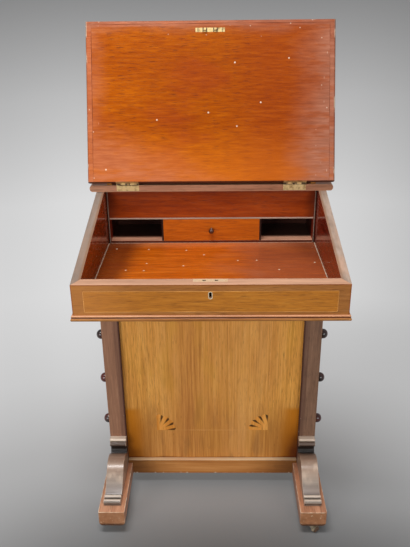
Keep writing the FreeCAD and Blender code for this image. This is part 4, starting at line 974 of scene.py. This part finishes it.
def dress_slope():
    """The slope's panel, its edging and its leather."""
    dress("slope_panel", slope_wood, AMBER, 1.0, ease=THIN_EASE)
    dress("slope_edging", slope_wood, ROSE, 2.0)
    dress("writing_leather", leather)


def dress_box():
    """The writing box, what it holds and the stationery case on top of it."""
    dress("box_front", box_front, ease=THIN_EASE)
    dress("box_side_left", box_side, -1, ease=THIN_EASE)
    dress("box_side_right", box_side, 1, ease=THIN_EASE)
    dress("box_floor", box_floor)
    dress("box_back", box_back, ease=THIN_EASE)
    dress("base_moulding", base_moulding)
    dress("top_board", board, "x", PINK_BROWN, 12.0, ease=WOOD_EASE)
    dress("fascia_panel", fascia_panel, ease=THIN_EASE)
    dress("pigeonhole_shelves", pigeonhole_shelves, ease=THIN_EASE)
    dress("pigeonhole_uprights", pigeonhole_uprights, ease=THIN_EASE)
    dress("pen_drawer_front", board, "x", TANGERINE, 19.0, ease=THIN_EASE, wear=0.2, stripe=120.0,
          spread=0.34, drawn=0.08)
    dress("pen_drawer_box", board, "y", DEAL, 19.5, ease=THIN_EASE)
    dress("pen_drawer_knob", board, "y", KNOB, 19.7, roughness=0.26, gloss=0.5, coat=0.6)
    cheeks_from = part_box("stationery_lid")[1].x + 0.4 * MM
    dress("stationery_case", stationery_wood, cheeks_from, ease=THIN_EASE)
    dress("stationery_lid", board, "x", NUT, 17.5, ease=THIN_EASE)


def dress_pedestal():
    """The pedestal, its feet and its drawers."""
    for side, sign in (("left", -1), ("right", 1)):
        dress("front_post_" + side, post, sign, ease=WOOD_EASE)
        dress("foot_" + side, foot, 22.0 + sign, ease=WOOD_EASE)
        dress("scroll_bracket_" + side, scroll, 23.0 + sign, ease=WOOD_EASE)
    dress("rear_posts", board, "z", BARK, 20.5, ease=WOOD_EASE)
    dress("pedestal_front_panel", front_panel)
    dress("pedestal_back_panel", board, "z", BROWN, 27.0)
    dress("plinth_rails", plinth, ease=WOOD_EASE)
    dress("drawer_rails", board, "y", NUT, 35.0, ease=THIN_EASE)
    dress("drawer_runners", board, "x", DEAL, 36.0, ease=THIN_EASE)
    dress("dummy_drawer_fronts", drawer_front, 37.0, ease=THIN_EASE)
    dress("dummy_drawer_knobs", ebonised, 38.0)
    for number in range(1, 5):
        name = "drawer_%d_" % number
        dress(name + "front", drawer_front, 40.0 + number, ease=THIN_EASE)
        dress(name + "box", board, "x", DEAL, 44.0 + number, ease=THIN_EASE)
        dress(name + "knobs", ebonised, 48.0 + number)


def dress_metalwork():
    """The lock, the hinges and the casters."""
    dress("keyhole_escutcheon", metal, 58.0, *BONE)
    dress("lock_case", metal, 59.0, *PALE_BRASS, grime=inside_lock)
    dress("hinge_leaves_fixed", metal, 49.0, *BRASS, grime=above_top_board)
    dress("link_plate", metal, 50.0, *DULL_BRASS, grime=round_links)
    plain = ("hinge_leaves_slope", "hinge_leaves_stationery_lid", "caster_plates")
    for seed, name in enumerate(plain, start=51):
        dress(name, metal, float(seed), *BRASS)
    dress("lock_bolt", metal, 57.0, *STEEL)
    for seed, corner in enumerate(("front_left", "front_right", "rear_left", "rear_right")):
        dress("caster_fork_" + corner, metal, 60.0 + seed, *GREY_BRASS)
        dress("caster_wheel_" + corner, ceramic, 64.0 + seed)


# ---------------------------------------------------------------- floor and light
SKY = (0.75, 0.75, 0.76, 1.0)
SKY_STRENGTH = 0.45
FLOOR_HALF = 120.0                      # half the floor's side
FLOOR_MIDDLE = (0.0, -1.43, 0.0)        # the tones below run in to here from far away
FLOOR_NEAREST = 0.9                     # no change of tone inside this distance
FLOOR_STEEPNESS = 1.09                  # how soon they change with the distance
FLOOR_TONES = (134, 134, 134, 136, 138, 146, 154, 132)
FLOOR_GLOW = (86, 164, 194, 191, 168, 114, 34, 0)
GLOW_TURN = 0.35                        # the glow changes sideways up to this share of the distance
SHADOW_POOL_MIDDLE = (0.1, -0.6, 0.0)          # a painted shadow on the floor before the desk
SHADOW_POOL_REACH = (0.9, 0.6)                 # how far it spreads sideways and in depth
LIGHTS = (("overhead_light", (-0.3, -0.95, 3.1), (1.3, 0.4), 58.0),
          ("left_light", (-1.5, -2.6, 1.15), (1.3, 1.3), 35.0),
          ("right_light", (1.4, -2.6, 1.1), (1.3, 1.3), 19.0))
LIGHTS_AIM = Vector((0.0, 0.0, 0.6))


def sky(scene):
    """Plain soft light from all round."""
    world = bpy.data.worlds.new("studio")
    scene.world = world
    world.use_nodes = True
    tree = world.node_tree
    tree.nodes.clear()
    background = tree.nodes.new("ShaderNodeBackground")
    background.inputs["Color"].default_value = SKY
    background.inputs["Strength"].default_value = SKY_STRENGTH
    tree.links.new(background.outputs[0], tree.nodes.new("ShaderNodeOutputWorld").inputs["Surface"])


def greys(values):
    """Greys given as they are seen, 0 to 255, made linear."""
    return [colour(grey, grey, grey) for grey in values]


def pale_floor():
    """Pale grey that glows where it is seen, whether straight, by reflection or through something clear."""
    paint = Paint("pale_floor")
    x, _, _ = paint.axes(paint.place)
    cloud = paint.noise(paint.place, (1.5, 1.5, 1.5), 1.0)
    away = paint.distance(paint.place, FLOOR_MIDDLE)
    near = FLOOR_STEEPNESS / away.most(FLOOR_NEAREST)
    scale = (1 / SHADOW_POOL_REACH[0], 1 / SHADOW_POOL_REACH[1], 1.0)
    centre = [a * b for a, b in zip(SHADOW_POOL_MIDDLE, scale)]
    # a painted shadow before the desk darkens the floor's tone
    pool_shadow = paint.fall(paint.distance(paint.stretched(paint.place, scale), centre), 0.2, 1.15)
    tone = paint.shade(paint.ramp(near, *greys(FLOOR_TONES)), 1.0 - pool_shadow * 0.7 - cloud * 0.04)
    turned = (x / away).most(-GLOW_TURN).least(GLOW_TURN)
    side = 1.0 - paint.rise(abs(turned), 0.18, 0.36) * 0.2 - turned * 0.3
    glow = paint.shade(paint.ramp(near, *greys(FLOOR_GLOW)), side)
    rays = [paint.node("ShaderNodeLightPath", output=name)
            for name in ("Is Camera Ray", "Is Glossy Ray", "Is Transmission Ray")]
    seen = rays[0].most(rays[1]).most(rays[2])
    return paint.done({"Base Color": tone, "Roughness": 0.6, "Emission Strength": 1.0,
                       "Emission Color": paint.shade(glow, seen)})


def lay_floor(scene):
    """A floor so wide that its far edge lies near the horizon."""
    mesh = bpy.data.meshes.new("floor")
    made = bmesh.new()
    bmesh.ops.create_grid(made, x_segments=8, y_segments=8, size=FLOOR_HALF)
    made.to_mesh(mesh)
    made.free()
    floor = bpy.data.objects.new("floor", mesh)
    scene.collection.objects.link(floor)
    mesh.materials.append(pale_floor())


def lights(scene):
    """One light above the desk and a weaker one on each side."""
    for name, place, size, power in LIGHTS:
        data = bpy.data.lights.new(name, "AREA")
        data.shape = "RECTANGLE"
        data.size, data.size_y = size
        data.energy = power
        light = bpy.data.objects.new(name, data)
        light.location = place
        light.rotation_euler = (LIGHTS_AIM - Vector(place)).to_track_quat("-Z", "Y").to_euler()
        scene.collection.objects.link(light)


def studio():
    """The floor and the light that the desk is seen in."""
    scene = bpy.context.scene
    scene.view_settings.view_transform = "Standard"
    sky(scene)
    lay_floor(scene)
    lights(scene)


camera()
studio()
dress_slope()
dress_box()
dress_pedestal()
dress_metalwork()
inlays()
